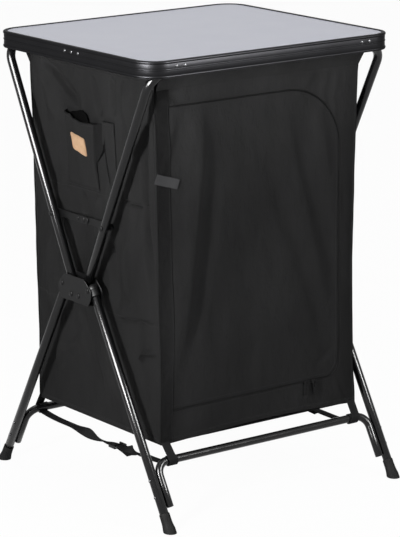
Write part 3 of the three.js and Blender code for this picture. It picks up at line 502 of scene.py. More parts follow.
thread = surface("thread", (0.015, 0.015, 0.0155), 0.7, Sheen_Weight=0.05, Specular_IOR_Level=0.15,
                 colors=((60.0,), (0.01, 0.01, 0.0105), (0.019, 0.019, 0.0195)), grain=((2400.0, 2.0), 0.5, 0.0002))
label_thread = surface("label_thread", (0.5, 0.27, 0.12), 0.6, colors=((90.0,), (0.4, 0.2, 0.09), (0.6, 0.34, 0.17)),
                       grain=((2400.0,), 0.5, 0.0002))
rivet_metal = surface("rivet_metal", (0.07, 0.07, 0.073), 0.32, 0.8, rough=((300.0,), 0.22, 0.45),
                      grain=((500.0,), 0.15, 0.0002))
moulded = surface("moulded_plastic", (0.008, 0.008, 0.0083), 0.42, Specular_IOR_Level=0.2,
                  rough=((60.0,), 0.4, 0.56), grain=((1500.0, 2.0), 0.3, 0.0002))
zip_plastic = surface("zip_coil", (0.006, 0.006, 0.0062), 0.5, Specular_IOR_Level=0.06,
                      rough=((200.0,), 0.5, 0.65), grain=((1500.0,), 0.2, 0.0001))
rubber = surface("boot_rubber", (0.02, 0.02, 0.0205), 0.7, Specular_IOR_Level=0.06, rough=((40.0,), 0.62, 0.78),
                 colors=((90.0, 6.0, 0.7), (0.009, 0.009, 0.0093), (0.017, 0.0166, 0.0163)),
                 grain=((1100.0, 3.0), 0.35, 0.0003))
board_face = surface("board_face", (0.5, 0.51, 0.58), 0.42, Specular_IOR_Level=0.4, Coat_Weight=0.15,
                     Coat_Roughness=0.3, rough=((6.0, 6.0, 0.6), 0.36, 0.5),
                     colors=((700.0, 3.0), (0.47, 0.48, 0.55), (0.53, 0.54, 0.61)),
                     grain=((1300.0, 2.0), 0.12, 0.00015))
label_leather = surface("label_leather", (0.58, 0.36, 0.2), 0.55, Specular_IOR_Level=0.35,
                        colors=((120.0, 6.0, 0.7), (0.5, 0.3, 0.165), (0.62, 0.4, 0.235)),
                        grain=((900.0, 5.0, 0.7), 0.45, 0.0004))


# ---- Pieces ----

def added(name, data):
    made = bpy.data.objects.new(name, data)
    bpy.context.collection.objects.link(made)
    return made


def piece(name, shape, mat, body, replaces=(), sharp=38):
    points, faces = shape
    mesh = bpy.data.meshes.new(name)
    mesh.from_pydata([(x * METRE, y * METRE, z * METRE) for x, y, z in points], [], faces)
    work = bmesh.new()
    work.from_mesh(mesh)
    bmesh.ops.remove_doubles(work, verts=work.verts, dist=2e-6)
    bmesh.ops.recalc_face_normals(work, faces=work.faces)
    work.to_mesh(mesh)
    work.free()
    mesh.materials.append(mat)
    mesh.shade_smooth()
    mesh.set_sharp_from_angle(angle=radians(sharp))
    made = added(name, mesh)
    if body:
        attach(made, body)
    if replaces:
        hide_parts(*replaces)
    return made


def sheet(name, shape, mat, body, replaces=(), amount=cloth_thick):
    """Single sheet that gets its thickness in the mesh itself."""
    made = piece(name, shape, mat, body, replaces, sharp=180)
    modifier = made.modifiers.new("thickness", "SOLIDIFY")
    modifier.thickness = amount * METRE
    modifier.offset = -1.0
    modifier.use_even_offset = True
    modifier.thickness_clamp = 1.0
    seen = made.evaluated_get(bpy.context.evaluated_depsgraph_get())
    mesh = bpy.data.meshes.new_from_object(seen)
    mesh.set_sharp_from_angle(angle=radians(65))
    made.modifiers.clear()
    made.data = mesh
    return made


def hinged(made):
    """Cloth that crosses the door's hinge line, with its placement baked into its mesh."""
    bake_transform(made)
    return made


def gathers(made):
    """The cabinet's cloth, given a mesh of its own."""
    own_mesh(made)
    return made


def strap_gathers(made):
    """The straps, each given a mesh of its own."""
    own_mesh(made)


# ---- Table top ----

def top_outline(inset, steps=22):
    x, y, r = half_width - table_corner, half_depth - table_corner, table_corner - inset
    corners = ((x, y, 0), (-x, y, 90), (-x, -y, 180), (x, -y, 270))
    return [p for cx, cy, start in corners for p in arc(cx, cy, r, start, start + 90, steps)]


def rim_section():
    """Section of the edge profile, from the foot of its outer face round to its inner face."""
    bottom, middle = table_height - rim_height, table_height - rim_height / 2
    inner, bead = rim_recess + rim_wall, rim_bead / 2
    ledge = table_height - lip_thick - board_thick - 2 * fit

    def bead_at(z, stop):
        turns = [radians(a) for a in range(-75, stop, 15)]
        points = [(bead - bead * cos(a), z + bead * sin(a)) for a in turns]
        return [(a * rim_recess / bead if a > rim_recess and (stop < 80 or b < z) else a, b) for a, b in points]

    rib = [(rim_recess - 1.1 * cos(radians(a)), middle + rim_rib / 2 * sin(radians(a)))
           for a in range(-90, 91, 18)]
    lip = [(lip_reach - 0.5, table_height), (lip_reach, table_height - 0.5),
           (lip_reach, table_height - lip_thick), (inner, table_height - lip_thick)]
    inside = [(inner, ledge), (ledge_reach, ledge), (ledge_reach, ledge - ledge_thick),
              (inner, ledge - ledge_thick), (inner, bottom + 0.4), (inner - 0.4, bottom)]
    return bead_at(bottom + bead, 76) + rib + bead_at(table_height - bead, 91) + lip + inside


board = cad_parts["tabletop_board"]
board.data.materials.clear()
board.data.materials.append(board_face)

rim = grid([[(x, y, z) for x, y in top_outline(inset)] for inset, z in rim_section()],
           closed_across=True, closed_along=True)
piece("rim_profile", rim, rim_metal, "top", ["edge_profile"], sharp=32)

rim_inner_x, rim_inner_y = half_width - rim_recess - rim_wall, half_depth - rim_recess - rim_wall
joiner_middle, joiner_thick, joiner_pitch = -9, 2, 23
strip_x = -rim_inner_x + fit
strip = pad((joiner_middle, rivet_z - 2.5), (45, 6), 1.5, strip_x, strip_x + joiner_thick, on_x)
joiner_heads, shanks = zip(*[rivet((-half_width + rim_recess - fit, joiner_middle + k * joiner_pitch, rivet_z),
                                   (strip_x + 2.6, joiner_middle + k * joiner_pitch, rivet_z)) for k in (-1, 0, 1)])
piece("joiner_strip", joined(strip, *shanks), plate_paint, "top", ["edge_joiner"])
piece("joiner_rivets", joined(*joiner_heads), rivet_metal, "top")

hook_x, hook_half, hook_drop, hook_rivet = 224, 17, 21, 9.5
bar_top = bar_z + tube_radius + fit
hook_top = bar_top + 3.7
hook_outer, hook_face = -rim_inner_y + fit, -bar_y - tube_radius - fit
hook_outline = [(hook_outer, hook_top - hook_drop), (hook_face, hook_top - hook_drop), (hook_face, bar_top),
                (-bar_y, bar_top), (-bar_y, hook_top), (hook_outer, hook_top)]
for end, side in ENDS:
    for name, way in SIDES:
        hook = slab(hook_outline, way * hook_x - hook_half, way * hook_x + hook_half, on_x, 0.4)
        xs = [way * hook_x + dx for dx in (-hook_rivet, hook_rivet)]
        heads, pegs = zip(*[rivet((x, -half_depth + rim_recess - fit, rivet_z), (x, hook_outer + 1, rivet_z))
                            for x in xs])
        piece(f"hook_{end}_{name}", mirrored(joined(hook, *pegs), 1, -side), moulded, "top",
              [f"{end}_{name}_bracket"])
        piece(f"hook_rivets_{end}_{name}", mirrored(joined(*heads), 1, -side), rivet_metal, "top")


# ---- Tube frame ----

def cut_at_floor(shape):
    """Closed shape without what reaches under the floor."""
    mesh = bmesh.new()
    made = [mesh.verts.new(p) for p in shape[0]]
    for face in shape[1]:
        mesh.faces.new([made[i] for i in face])
    bmesh.ops.remove_doubles(mesh, verts=mesh.verts, dist=0.001)
    cut = bmesh.ops.bisect_plane(mesh, geom=mesh.verts[:] + mesh.edges[:] + mesh.faces[:], plane_co=(0, 0, 0),
                                 plane_no=(0, 0, 1), clear_inner=True)
    bmesh.ops.contextual_create(mesh, geom=[e for e in cut["geom_cut"] if isinstance(e, bmesh.types.BMEdge)])
    mesh.verts.index_update()
    left = [tuple(v.co) for v in mesh.verts], [tuple(v.index for v in f.verts) for f in mesh.faces]
    mesh.free()
    return left


CAP_PROFILE = [(tube_radius + 0.1, -14), (cap_radius - 1.3, -14), (cap_radius - 0.9, -13.5), (cap_radius - 0.9, -1.5),
               (cap_radius - 0.55, -0.7)] + arc(0, 0, cap_radius, 0, 90, 14)[:-1] + [(0, cap_radius)]
BOOT_PROFILE = [(0, -12.5), (12.5, -12.5), (12.5, 5.5), (12.3, 7.5), (11.9, 9.5), (11.3, 13), (10.8, 17),
                (10.5, 22), (10.35, 30), (10.35, 36.9), (10.1, 37.7), (9.7, 38), (9.05, 37.8), (9.05, 30)]


def down_leg(drop):
    """Distance down a lower leg to a drop below its pivot."""
    return drop / -lower_slope[1]


for end, side in ENDS:
    route = u_path(upper_pivot, upper_slope, leg_x, -7, upper_length, frame_bend, side)
    piece(f"tube_upper_{end}", tube(route, tube_radius, tube_wall), tube_paint, f"{end}_upper",
          [f"{end}_upper_frame"], sharp=50)

    lower = f"{end}_lower"
    route = u_path(lower_pivot, lower_slope, brace_x, down_leg(lower_pivot[1] - brace_end_z),
                   down_leg(lower_pivot[1] - brace_z), brace_bend, side)
    brace_heads = []
    for rise in (20, 20 + 34 * -lower_slope[1]):
        far = down_leg(lower_pivot[1] - brace_end_z - rise)
        for _, sx in SIDES:
            x, y, z = leg_point(lower_pivot, lower_slope, sx * leg_x, far, side)
            brace_heads.append(head(rivet_head, rivet_dome, (x + sx * (tube_radius + fit), y, z), (sx, 0, 0)))
    piece(f"crossbar_{end}", tube(route, brace_radius, tube_wall), tube_paint, lower, [f"{end}_brace"],
          sharp=50)
    piece(f"crossbar_rivets_{end}", joined(*brace_heads), rivet_metal, lower)

    for name, sx in SIDES:
        top, foot, pivot, sole = [leg_point(lower_pivot, lower_slope, sx * leg_x, far, side)
                                  for far in (-5, lower_length - 7, 0, lower_length)]
        leg = tube([top, tuple(Vector(top).lerp(Vector(foot), 0.5)), foot], tube_radius, tube_wall)
        piece(f"leg_{end}_{name}", leg, tube_paint, lower, [f"{name}_{end}_leg"], sharp=50)
        turn = upright((Vector(top) - Vector(foot)).normalized())
        piece(f"cap_{end}_{name}", placed(lathe(CAP_PROFILE), Matrix.Translation(pivot) @ turn), moulded, lower,
              [f"{name}_{end}_leg_cap"])
        boot = cut_at_floor(placed(lathe(BOOT_PROFILE), Matrix.Translation(sole) @ turn))
        piece(f"boot_{end}_{name}", boot, rubber, lower, [f"{name}_{end}_foot"], sharp=50)


# ---- Hubs and stays, made at the left and mirrored to the right ----

hub_floor = upper_pivot[1] - hypot(tube_radius, 7) - 2 * fit
hub_space = cap_radius + fit
flange_reach = lower_pivot[0] + 2.5
hub_right = [(flange_reach, hub_floor - plate_thick),
             (lower_pivot[0] + 12.5, (hub_floor - plate_thick + lower_pivot[1]) / 2),
             (lower_pivot[0] + 12.5, lower_pivot[1]), (upper_pivot[0] + 21.5, upper_pivot[1] + 37.5)]
hub_outline = rounded(hub_right + [(-y, z) for y, z in hub_right[::-1]], 7)
plate_out, plate_in = -leg_x - hub_space, -leg_x + hub_space
outer_plate = slab(hub_outline, plate_out - plate_thick, plate_out, on_x, 0.5)
flange_ends = plate_out - 1.8, plate_in - fit
flange = pad((sum(flange_ends) / 2, 0), ((flange_ends[1] - flange_ends[0]) / 2, flange_reach), 1,
             hub_floor - plate_thick, hub_floor, on_z, 0.5)
inner_plate = slab(hub_outline, plate_in, plate_in + plate_thick, on_x, 0.5)
pins = []
for y, z in [(s * p[0], p[1]) for p in (upper_pivot, lower_pivot) for s in (-1, 1)]:
    outside = (plate_out - plate_thick - fit, y, z)
    pins += [head(pin_head, pin_dome, outside, (-1, 0, 0), 32),
             head(pin_head, pin_dome, (plate_in + plate_thick, y, z), (1, 0, 0), 32),
             rod(outside, (plate_in + 1, y, z), pin_radius)]


def stay_shape(side):
    outer = -leg_x + tube_radius + fit + (stay_thick + fit if side < 0 else 0)
    low, high = sorted((side * stay_y, -side * stay_lap))
    outline = arc(low, stay_z, stay_radius, 90, 270, 16) + arc(high, stay_z, stay_radius, -90, 90, 16)
    bar = slab(outline, outer, outer + stay_thick, on_x, 0.35)

    def at(x, y=side * stay_y):
        return x, y, stay_z

    start = at(-leg_x - tube_radius - fit)
    bolt = [head(pin_head, pin_dome, start, (-1, 0, 0)), rod(start, at(outer + 1), pin_radius),
            tube([at(outer + 2.3), at(outer + 6.5)], pin_head, sides=6)]
    if side > 0:
        bolt += [head(pin_head, pin_dome, at(outer, 0), (-1, 0, 0)), head(4, pin_dome, at(outer, 18), (-1, 0, 0))]
    else:
        bolt += [rod(at(-leg_x + tube_radius + fit), at(outer + 0.5), pin_head),
                 head(pin_head, pin_dome, at(outer + stay_thick, 0), (1, 0, 0))]
    return bar, joined(*bolt)


for name, sx in SIDES:
    for part, shape, replaced in (("outer", joined(outer_plate, flange), [f"{name}_hub_plate"]),
                                  ("inner", inner_plate, [f"{name}_hub_pins"]), ("rivets", joined(*pins), [])):
        piece(f"hub_{part}_{name}", mirrored(shape, -sx), plate_paint, "hubs", replaced)
    for end, side in ENDS:
        bar, bolts = stay_shape(side)
        piece(f"stay_{end}_{name}", mirrored(bar, -sx), plate_paint, f"{end}_stays", [f"{name}_{end}_stay"])
        piece(f"stay_rivets_{end}_{name}", mirrored(bolts, -sx), plate_paint, f"{end}_stays")


# ---- Cloth: folds are lines across a panel with a height and a width to each side ----

def fold_lines(*lines):
    out = []
    for points, height, left, right in lines:
        total = sum(dist(a, b) for a, b in zip(points, points[1:]))
        parts, gone = [], 0.0
        for a, b in zip(points, points[1:]):
            size = dist(a, b)
            parts.append((a[0], a[1], b[0] - a[0], b[1] - a[1], size * size, gone / total, (gone + size) / total))
            gone += size
        out.append((parts, height, left, right))
    return out


def pushed(u, v, lines):
    """How far the folds move the cloth at a point."""
    out = 0.0
    for parts, height, left, right in lines:
        near, side, place = 1e9, 0.0, 0.0
        for ax, ay, dx, dy, size, t0, t1 in parts:
            k = min(max(((u - ax) * dx + (v - ay) * dy) / size, 0.0), 1.0)
            ex, ey = u - ax - k * dx, v - ay - k * dy
            gap = ex * ex + ey * ey
            if gap < near:
                near, side, place = gap, dx * ey - dy * ex, mix(t0, t1, k)
        width = left if side > 0 else right
        if near < 8 * width * width:
            out += height * smooth(min(place, 1 - place) / 0.3 + 0.12) * exp(-near / (width * width))
    return out


def waver(u, v, seed, across, along, amount):
    return amount * noise.noise(Vector((u / across, v / along, seed)))


FRONT_FOLDS = fold_lines(
    ([(-141, 830), (-151, 700), (-159, 623), (-169, 546), (-180, 448), (-204, 290)], 16.0, 16, 34),
    ([(-197, 806), (-210, 756), (-222, 700)], 3.0, 7, 8),
    ([(56, 800), (75, 691), (90, 629), (106, 567), (123, 503), (147, 428), (172, 350)], 9.0, 17, 44),
    ([(-36, 740), (3, 621), (28, 557), (53, 497), (78, 439), (101, 384), (129, 328), (158, 272)], 7.0, 20, 36),
    ([(150, 780), (161, 701), (169, 610)], 3.4, 12, 22),
    ([(-134, 430), (-130, 340), (-116, 262)], 1.8, 10, 16),
    ([(-62, 720), (-46, 627), (-24, 515)], 1.4, 18, 18),
    ([(84, 318), (104, 284), (126, 248)], 1.6, 7, 10),
    ([(196, 282), (166, 257), (132, 238)], -2.6, 7, 8),
    ([(184, 230), (197, 186), (215, 150)], 3.2, 7, 9),
    ([(136, 844), (110, 818), (86, 792)], 2.6, 7, 8),
    ([(167, 842), (158, 801), (160, 765)], 2.2, 7, 8),
    ([(195, 840), (183, 788), (189, 735)], 2.6, 8, 8),
    ([(-240, 856), (-216, 824), (-184, 794)], 3.2, 8, 8))
LEFT_FOLDS = fold_lines(
    ([(176, 864), (112, 820), (42, 776)], -4.6, 5, 13),
    ([(190, 850), (150, 800), (120, 740)], 4.0, 14, 12),
    ([(6, 848), (-12, 800), (-26, 762)], -4.0, 6, 8),
    ([(-63, 858), (-66, 810), (-67, 775)], -3.8, 5, 8),
    ([(-110, 862), (-118, 790), (-150, 700)], 4.0, 12, 16),
    ([(-184, 850), (-172, 696), (-180, 550), (-200, 419), (-210, 284)], -6.0, 9, 14),
    ([(-200, 800), (-196, 640), (-198, 520)], 4.0, 8, 12),
    ([(38, 612), (32, 580), (28, 540)], -3.0, 8, 8),
    ([(-22, 622), (-14, 570), (-7, 512)], 3.2, 8, 9),
    ([(90, 640), (120, 560), (110, 470)], 3.5, 16, 16),
    ([(-113, 545), (-118, 470), (-122, 410)], 4.5, 12, 9),
    ([(-55, 535), (-66, 460), (-75, 385)], -4.5, 10, 12),
    ([(150, 520), (160, 420), (140, 330)], 4.0, 14, 16),
    ([(57, 372), (24, 290), (-14, 200)], -4.5, 9, 14),
    ([(107, 362), (122, 290), (138, 210)], 3.6, 10, 10),
    ([(-50, 326), (-56, 270), (-60, 196)], 3.6, 9, 10),
    ([(10, 360), (60, 300), (150, 250)], 2.5, 12, 12),
    ([(-150, 300), (-166, 322), (-206, 330)], 5.0, 4, 9),
    ([(-206, 330), (-214, 300), (-208, 270)], 4.0, 5, 7),
    ([(-100, 616), (-134, 611), (-172, 613)], -2.4, 3, 3),
    ([(-60, 371), (-130, 380), (-206, 389)], -2.4, 3, 3))
RIGHT_FOLDS = fold_lines(
    ([(182, 858), (140, 760), (120, 640)], 4.5, 14, 12),
    ([(-170, 862), (-140, 780), (-90, 700)], -4.0, 12, 14),
    ([(0, 850), (14, 760), (-6, 640)], 4.0, 16, 12),
    ([(90, 620), (60, 520), (70, 400)], 4.5, 14, 18),
    ([(-60, 600), (-90, 500), (-70, 400)], -4.0, 14, 14),
    ([(-150, 560), (-160, 470), (-140, 400)], 4.0, 12, 12),
    ([(-120, 370), (-60, 290), (20, 200)], 4.5, 12, 16),
    ([(140, 370), (110, 280), (120, 190)], 3.8, 12, 12),
    ([(-190, 360), (-180, 270), (-196, 190)], 3.4, 9, 9))
BACK_FOLDS = fold_lines(*[([(x, 790), (x + 14, 500), (x - 8, 210)], h, 24, 20)
                          for x, h in ((-190, 3), (-120, -3), (-40, 3.5), (50, -2.5), (120, 3.5), (190, -3))])
# For each side: its folds, the seed of its noise and how strongly the folds show
SIDE_LOOKS = {-1: (LEFT_FOLDS, 11.3, 2.9), 1: (RIGHT_FOLDS, 21.9, 1.2)}
CORNER_LEANS = {-1: [(cab_low, 0), (284, -2), (480, 1), (700, 3), (side_top, 7)],
                1: [(cab_low, 2), (250, -4), (430, -7), (620, -3), (760, 2), (side_top, 5)]}
zip_low_z = door_low - 2.4


def corner_lean(side, z):
    """How far the cabinet's upright corners stray outward from straight."""
    return curve(CORNER_LEANS[side], z)


def leaned(x, z):
    """Place across the cabinet, moved with the lean of the nearer corner."""
    side = -1 if x < 0 else 1
    return x + side * smooth((abs(x) - 170) / (cab_x - 170)) * corner_lean(side, z)


def hem_rise(x, z):
    """The front's lower hem bows up between its corners."""
    return 8 * swell((x + cab_x) / (2 * cab_x), 1.15) * smooth((208 - z) / 58)


def within(x, z):
    """0 at the sewn edges of the front or the back and 1 inside."""
    return smooth((cab_x - abs(x)) / 34) * smooth((z - cab_low) / 26) * smooth((cab_top - z) / 20 + 0.25)


def front_out(x, z):
    inside = within(x, z) * (1 - 0.85 * exp(-((z - zip_low_z) / 15) ** 2))
    belly = 4.5 * swell((x + cab_x) / (2 * cab_x)) * swell((z - cab_low) / (cab_top - cab_low)) ** 0.7
    soft = waver(x, z, 3.1, 95, 190, 3.2) + waver(x, z, 7.7, 40, 75, 1.7) + waver(x, z, 1.3, 17, 26, 0.6)
    lean_out = 5 * smooth((z - 775) / 100) ** 1.5
    return 2.2 + lean_out + inside * (belly + soft + pushed(x, z, FRONT_FOLDS))


def front_point(x, z, off=0.0):
    """Point of the front's outer face; off lifts it from the cloth."""
    return leaned(x, z), -cab_y - front_out(x, z) - off + cloth_thick, z + hem_rise(x, z)


def back_point(x, z):
    out = 1.6 + within(x, z) * (3 + waver(x, z, 33.0, 90, 200, 3.4) + waver(x, z, 37.0, 36, 60, 1.0)
                                + pushed(x, z, BACK_FOLDS))
    return leaned(x, z), cab_y + out - cloth_thick, z


def side_out(side, y, z):
    folds, seed, strength = SIDE_LOOKS[side]
    inside = smooth((cab_y - abs(y)) / 30) * smooth((z - cab_low) / 26) * smooth((side_top - z) / 18 + 0.2)
    pockets = smooth((y + 92) / 20) * smooth((112 - y) / 20) * smooth((z - 604) / 16) * smooth((778 - z) / 16)
    flatter = 1 - 0.9 * pockets if side < 0 else 1
    soft = waver(y, z, seed, 80, 150, 3.4) + waver(y, z, seed + 4, 36, 60, 2.4) + waver(y, z, seed + 8, 15, 24, 0.9)
    belly = 3.5 * swell((z - cab_low) / (side_top - cab_low))
    return 1.0 + inside * (belly + soft + strength * pushed(y, z, folds)) * flatter


def side_point(side, y, z, off=0.0):
    """Point of a side's face; off lifts it from the cloth."""
    lean = corner_lean(side, z) * (0.35 + 0.65 * smooth((abs(y) - 90) / 120))
    sagged = z - 5 * swell((y + cab_y) / (2 * cab_y)) * smooth((z - 800) / 66)
    return side * (cab_x + lean + side_out(side, y, z) - cloth_thick / 2) + side * off, y, sagged


def door_edges(x, gap):
    arch = max(x - (door_right - door_top_radius), 0)
    toe = max(x - (door_right - door_low_radius), 0)
    top_r, low_r = door_top_radius + gap, door_low_radius + gap
    drop = top_r - sqrt(max(top_r * top_r - arch * arch, 0))
    lift = low_r - sqrt(max(low_r * low_r - toe * toe, 0))
    return door_low - gap + lift, door_high + gap - drop


def door_columns(gap):
    start, radius = door_right - door_top_radius, door_top_radius + gap
    return evenly(door_left - gap, start, 5)[:-1] + [a for a, _ in arc(start, 0, radius, 90, 0, 30)]


def front_sheet(name, columns, rows_at, replaces=(), tuck=0.0):
    """Sheet of the front: rows_at(x) gives the heights of its rows in one column; tuck sets its top row back."""
    heights = [rows_at(x) for x in columns]
    rows = [[front_point(x, zs[j]) for x, zs in zip(columns, heights)] for j in range(len(heights[0]))]
    rows[-1] = [(x, y + tuck, z) for x, y, z in rows[-1]]
    sheet(name, grid(rows), front_cloth, "front_panel", replaces)


arch_foot, right_edge = door_high - door_top_radius, door_right + door_gap
front_sheet("front_bottom_band", door_columns(door_gap), lambda x: split(cab_low, door_edges(x, door_gap)[0], 16),
            ["cabinet_front"])
front_sheet("front_header", door_columns(door_gap) + evenly(right_edge, cab_x, 4)[1:],
            lambda x: split(door_edges(x, door_gap)[1] if x <= right_edge else arch_foot, cab_top, 30))
front_sheet("front_left_band", evenly(-cab_x, door_left - door_gap, 4), lambda x: evenly(cab_low, cab_top, 5))
front_sheet("front_right_band", evenly(right_edge, cab_x, 4),
            lambda x: evenly(cab_low, arch_foot, 5) + [arch_foot + 1.2], tuck=0.5)

rows = [[front_point(x, mix(*door_edges(x, 0), t)) for x in door_columns(0)] for t in split(0, 1, 118)]
hinged(sheet("door_cloth", grid(rows), front_cloth, None, ["door"]))

side_reach = cab_y - 0.9
for name, side in SIDES:
    rows = [[side_point(side, y, z) for y in evenly(-side_reach, side_reach, 3.2)]
            for z in evenly(cab_low, side_top, 3.8)]
    made = gathers(sheet(f"side_{name}", grid(rows), side_cloth, "cabinet", [f"cabinet_{name}_side"]))

rows = [[back_point(x, z) for x in evenly(-cab_x, cab_x, 5)] for z in evenly(cab_low, cab_top, 5)]
sheet("back_cloth", grid(rows), front_cloth, "back_panel", ["cabinet_back"])


# ---- Sleeves round the top bars ----

def wrapped_round(start, centre, radius, turned, steps):
    """Arc round a bar, from where a straight line from start touches it."""
    dy, dz = start[0] - centre[0], start[1] - centre[1]
    touch = degrees(atan2(dz, dy)) + degrees(acos(radius / hypot(dy, dz)))
    return arc(*centre, radius, touch, touch + turned, steps)


def between(start, stop, *shares):
    return [(mix(start[0], stop[0], t), mix(start[1], stop[1], t)) for t in shares]


for end, side in ENDS:
    start = (-cab_y + 0.8 - 3.6, cab_top + 0.2)
    wrapped = wrapped_round(start, (-bar_y, bar_z), tube_radius + fit + 0.7, 262, 26)
    skirt_share = 36 / dist(start, wrapped[0])
    skirt = []
    for t in split(0, skirt_share, 9):
        y, z = between(start, wrapped[0], t)[0]
        row = []
        for u in split(-1, 1, 112):
            x = u * (cab_x + corner_lean(-1 if u < 0 else 1, cab_top) + 5 * t)
            pucker = waver(x, z, 51.0, 22, 60, 1.5) * smooth((1 - abs(u)) / 0.05) * swell(0.15 + 0.8 * t)
            row.append((x, y - pucker - 0.4, z + 0.5 * pucker))
        skirt.append(row)
    made = gathers(sheet(f"sleeve_{end}", mirrored(grid(skirt), 1, -side), front_cloth, "cabinet", [f"{end}_sleeve"]))
    line = between(start, wrapped[0], skirt_share, (1 + skirt_share) / 2) + wrapped
    wrap = grid([[(x, y, z) for x in evenly(-200, 200, 6)] for y, z in line])
    made = sheet(f"sleeve_{end}_wrap", mirrored(wrap, 1, -side), front_cloth, f"{end}_upper")


# ---- Shelves and floor ----

def shelf_shape(low, sag=-1.2):
    x_reach, y_reach = cab_x - 3.2, cab_y - 3.6
    edge = grid([[(x * (1 - inset / x_reach), y * (1 - inset / y_reach), low + z)
                  for x, y in rounded(box(0, 0, x_reach, y_reach), 6)]
                 for inset, z in ((1.6, 0), (0.4, 0.7), (0, 2), (0.4, 3.3), (1.6, shelf_thick))], closed_across=True)

    def face(z):
        return grid([[(x, y, z + sag * cos(x * pi / 2 / x_reach) * cos(y * pi / 2 / y_reach)
                       + waver(x, y, low, 60, 60, 0.25)) for x in evenly(-x_reach + 1.6, x_reach - 1.6, 12)]
                     for y in evenly(-y_reach + 1.6, y_reach - 1.6, 12)])

    points, faces = face(low)
    return joined(edge, face(low + shelf_thick), (points, [f[::-1] for f in faces]))


for name, low in (("cabinet_floor", cab_low), ("shelf_1", shelf_zs[0]), ("shelf_2", shelf_zs[1])):
    gathers(piece(f"cloth_{name}", shelf_shape(low), flat_cloth, "cabinet", [name], sharp=60))


# ---- Seams and stitching ----

SIXTHS = (0, 1.047, 2.094, 3.142, 4.189, 5.236)
STITCH = ((-0.5, 0.35, -0.15), (-0.3, 1.0, 0.25), (0.3, 1.0, 0.25), (0.5, 0.35, -0.15))
FRONT = (0, -1, 0)


def stitches(line, out, pitch=4.3, length=3.0, radius=0.42):
    """Row of sewn stitches along a line, lying on the cloth; out points away from it."""
    away = Vector(out)
    points = spaced(line, pitch)
    shapes = []
    for a, b in zip(points, points[1:]):
        along = (b - a).normalized()
        side = along.cross(away).normalized()
        rows = []
        for place, wide, rise in STITCH:
            at = (a + b) / 2 + along * (place * length) + away * (rise * radius * 2)
            rows.append([tuple(at + side * (radius * wide * cos(q)) + away * (radius * wide * sin(q)))
                         for q in SIXTHS])
        shapes.append(grid(rows, closed_across=True))
    return joined(*shapes)


def seam(name, lines, out, body, sizes=(), mat=thread):
    """Rows of stitches along some lines, as one piece; sizes are the pitch, length and radius of a stitch."""
    return piece(name, joined(*[stitches(line, out, *sizes) for line in lines]), mat, body)


def outline_at(grow):
    """Line round the door at a distance outside its edge, from the hinge's foot to its top."""
    right, low, high = door_right + grow, door_low - grow, door_high + grow
    toe, arch = door_low_radius + grow, door_top_radius + grow
    line = [(door_left, low)] + arc(right - toe, low + toe, toe, -90, 0, 12)
    return spaced(line + arc(right - arch, high - arch, arch, 0, 90, 34) + [(door_left, high)], 3.2)


def corner_point(side, way, z):
    """Point of an upright corner seam of the cabinet."""
    rise = hem_rise(side * cab_x, z) if way < 0 else 0
    return side * (cab_x + corner_lean(side, z) + 0.9), way * (cab_y - 0.2), z + rise


def tape_point(x, z):
    pucker = waver(x, z, 61.0, 22, 13, 1.5) * smooth((x + 241) / 5) * smooth((-214 - x) / 5)
    return front_point(x, z, 1.3 + pucker)


hem_zs = (cab_low + 8, cab_low + 10.5)
shelf_seams = tuple(z + 1.5 for z in shelf_zs)
seam("zip_frame_stitches", [[front_point(x, z, 0.35) for x, z in outline_at(7.2)]], FRONT, "front_panel")
hinged(seam("zip_door_stitches", [[front_point(x, z, 0.35) for x, z in outline_at(-6.2)]], FRONT, None))
lines = [[front_point(x, z, 0.3) for x in evenly(-238, 238, 4)] for z in hem_zs]
lines += [[front_point(x, z, lift) for z in evenly(cab_low + 4, cab_top - 3, 4)]
          for x, lift in ((-216.2, 1.4), (238.2, 0.3))]
seam("front_hem_stitches", lines, FRONT, "front_panel")
for name, side in SIDES:
    lines = [[side_point(side, y, z, 0.9) for y in evenly(-208, 208, 4)]
             for z in (*hem_zs, side_top - 7, *shelf_seams)]
    lines += [[side_point(side, y, z, 0.9) for z in evenly(cab_low + 4, side_top - 4, 4)] for y in (-205.5, 205.5)]
    gathers(seam(f"side_stitches_{name}", lines, (side, 0, 0), "cabinet"))
lines = [[back_point(x, z) for x in evenly(-237, 237, 4)] for z in (*hem_zs, cab_top - 6, *shelf_seams)]
seam("back_stitches", lines, (0, 1, 0), "back_panel")

for name, side in SIDES:
    for end, way in ENDS:
        line = [corner_point(side, way, z) for z in evenly(cab_low + 0.5, cab_top + 2, 6)]
        radii = [1.5 + waver(z, side * 30, 5.0 + way, 40, 40, 0.5) for _, _, z in line]
        gathers(piece(f"corner_binding_{end}_{name}", tube(line, 1.5, sides=10, radii=radii), tape_and_shade_cloth, "cabinet"))

# Darker tape sewn over the hinge edge of the door
rows = [[tape_point(x, z) for x in evenly(-240.4, -214.6, 2)] for z in evenly(cab_low + 1, cab_top - 1, 3)]
sheet("hinge_tape", grid(rows), tape_and_shade_cloth, "front_panel", amount=0.8)


# ---- Zip ----

def front_ribbon(first, last, lift=0.1, steps=5):
    """Band on the front between two distances from the door's edge."""
    lines = [outline_at(grow) for grow in split(first, last, steps)]
    count = min(len(line) for line in lines)
    lines = [spaced(line, count=count) for line in lines]
    return grid([[front_point(*line[k], lift) for line in lines] for k in range(count)])


def wire_loop(outline, drop, thickness):
    """Closed loop of round wire in an upright plane that faces the front."""
    rows = []
    for i, p in enumerate(outline):
        along = (Vector(outline[(i + 1) % len(outline)]) - Vector(outline[i - 1])).normalized()
        rows.append([(p[0] + along.y * thickness * cos(q), thickness * 0.8 * sin(q),
                      drop + p[1] - along.x * thickness * cos(q)) for q in [k * pi / 4 for k in range(8)]])
    return grid(rows, closed_across=True, closed_along=True)


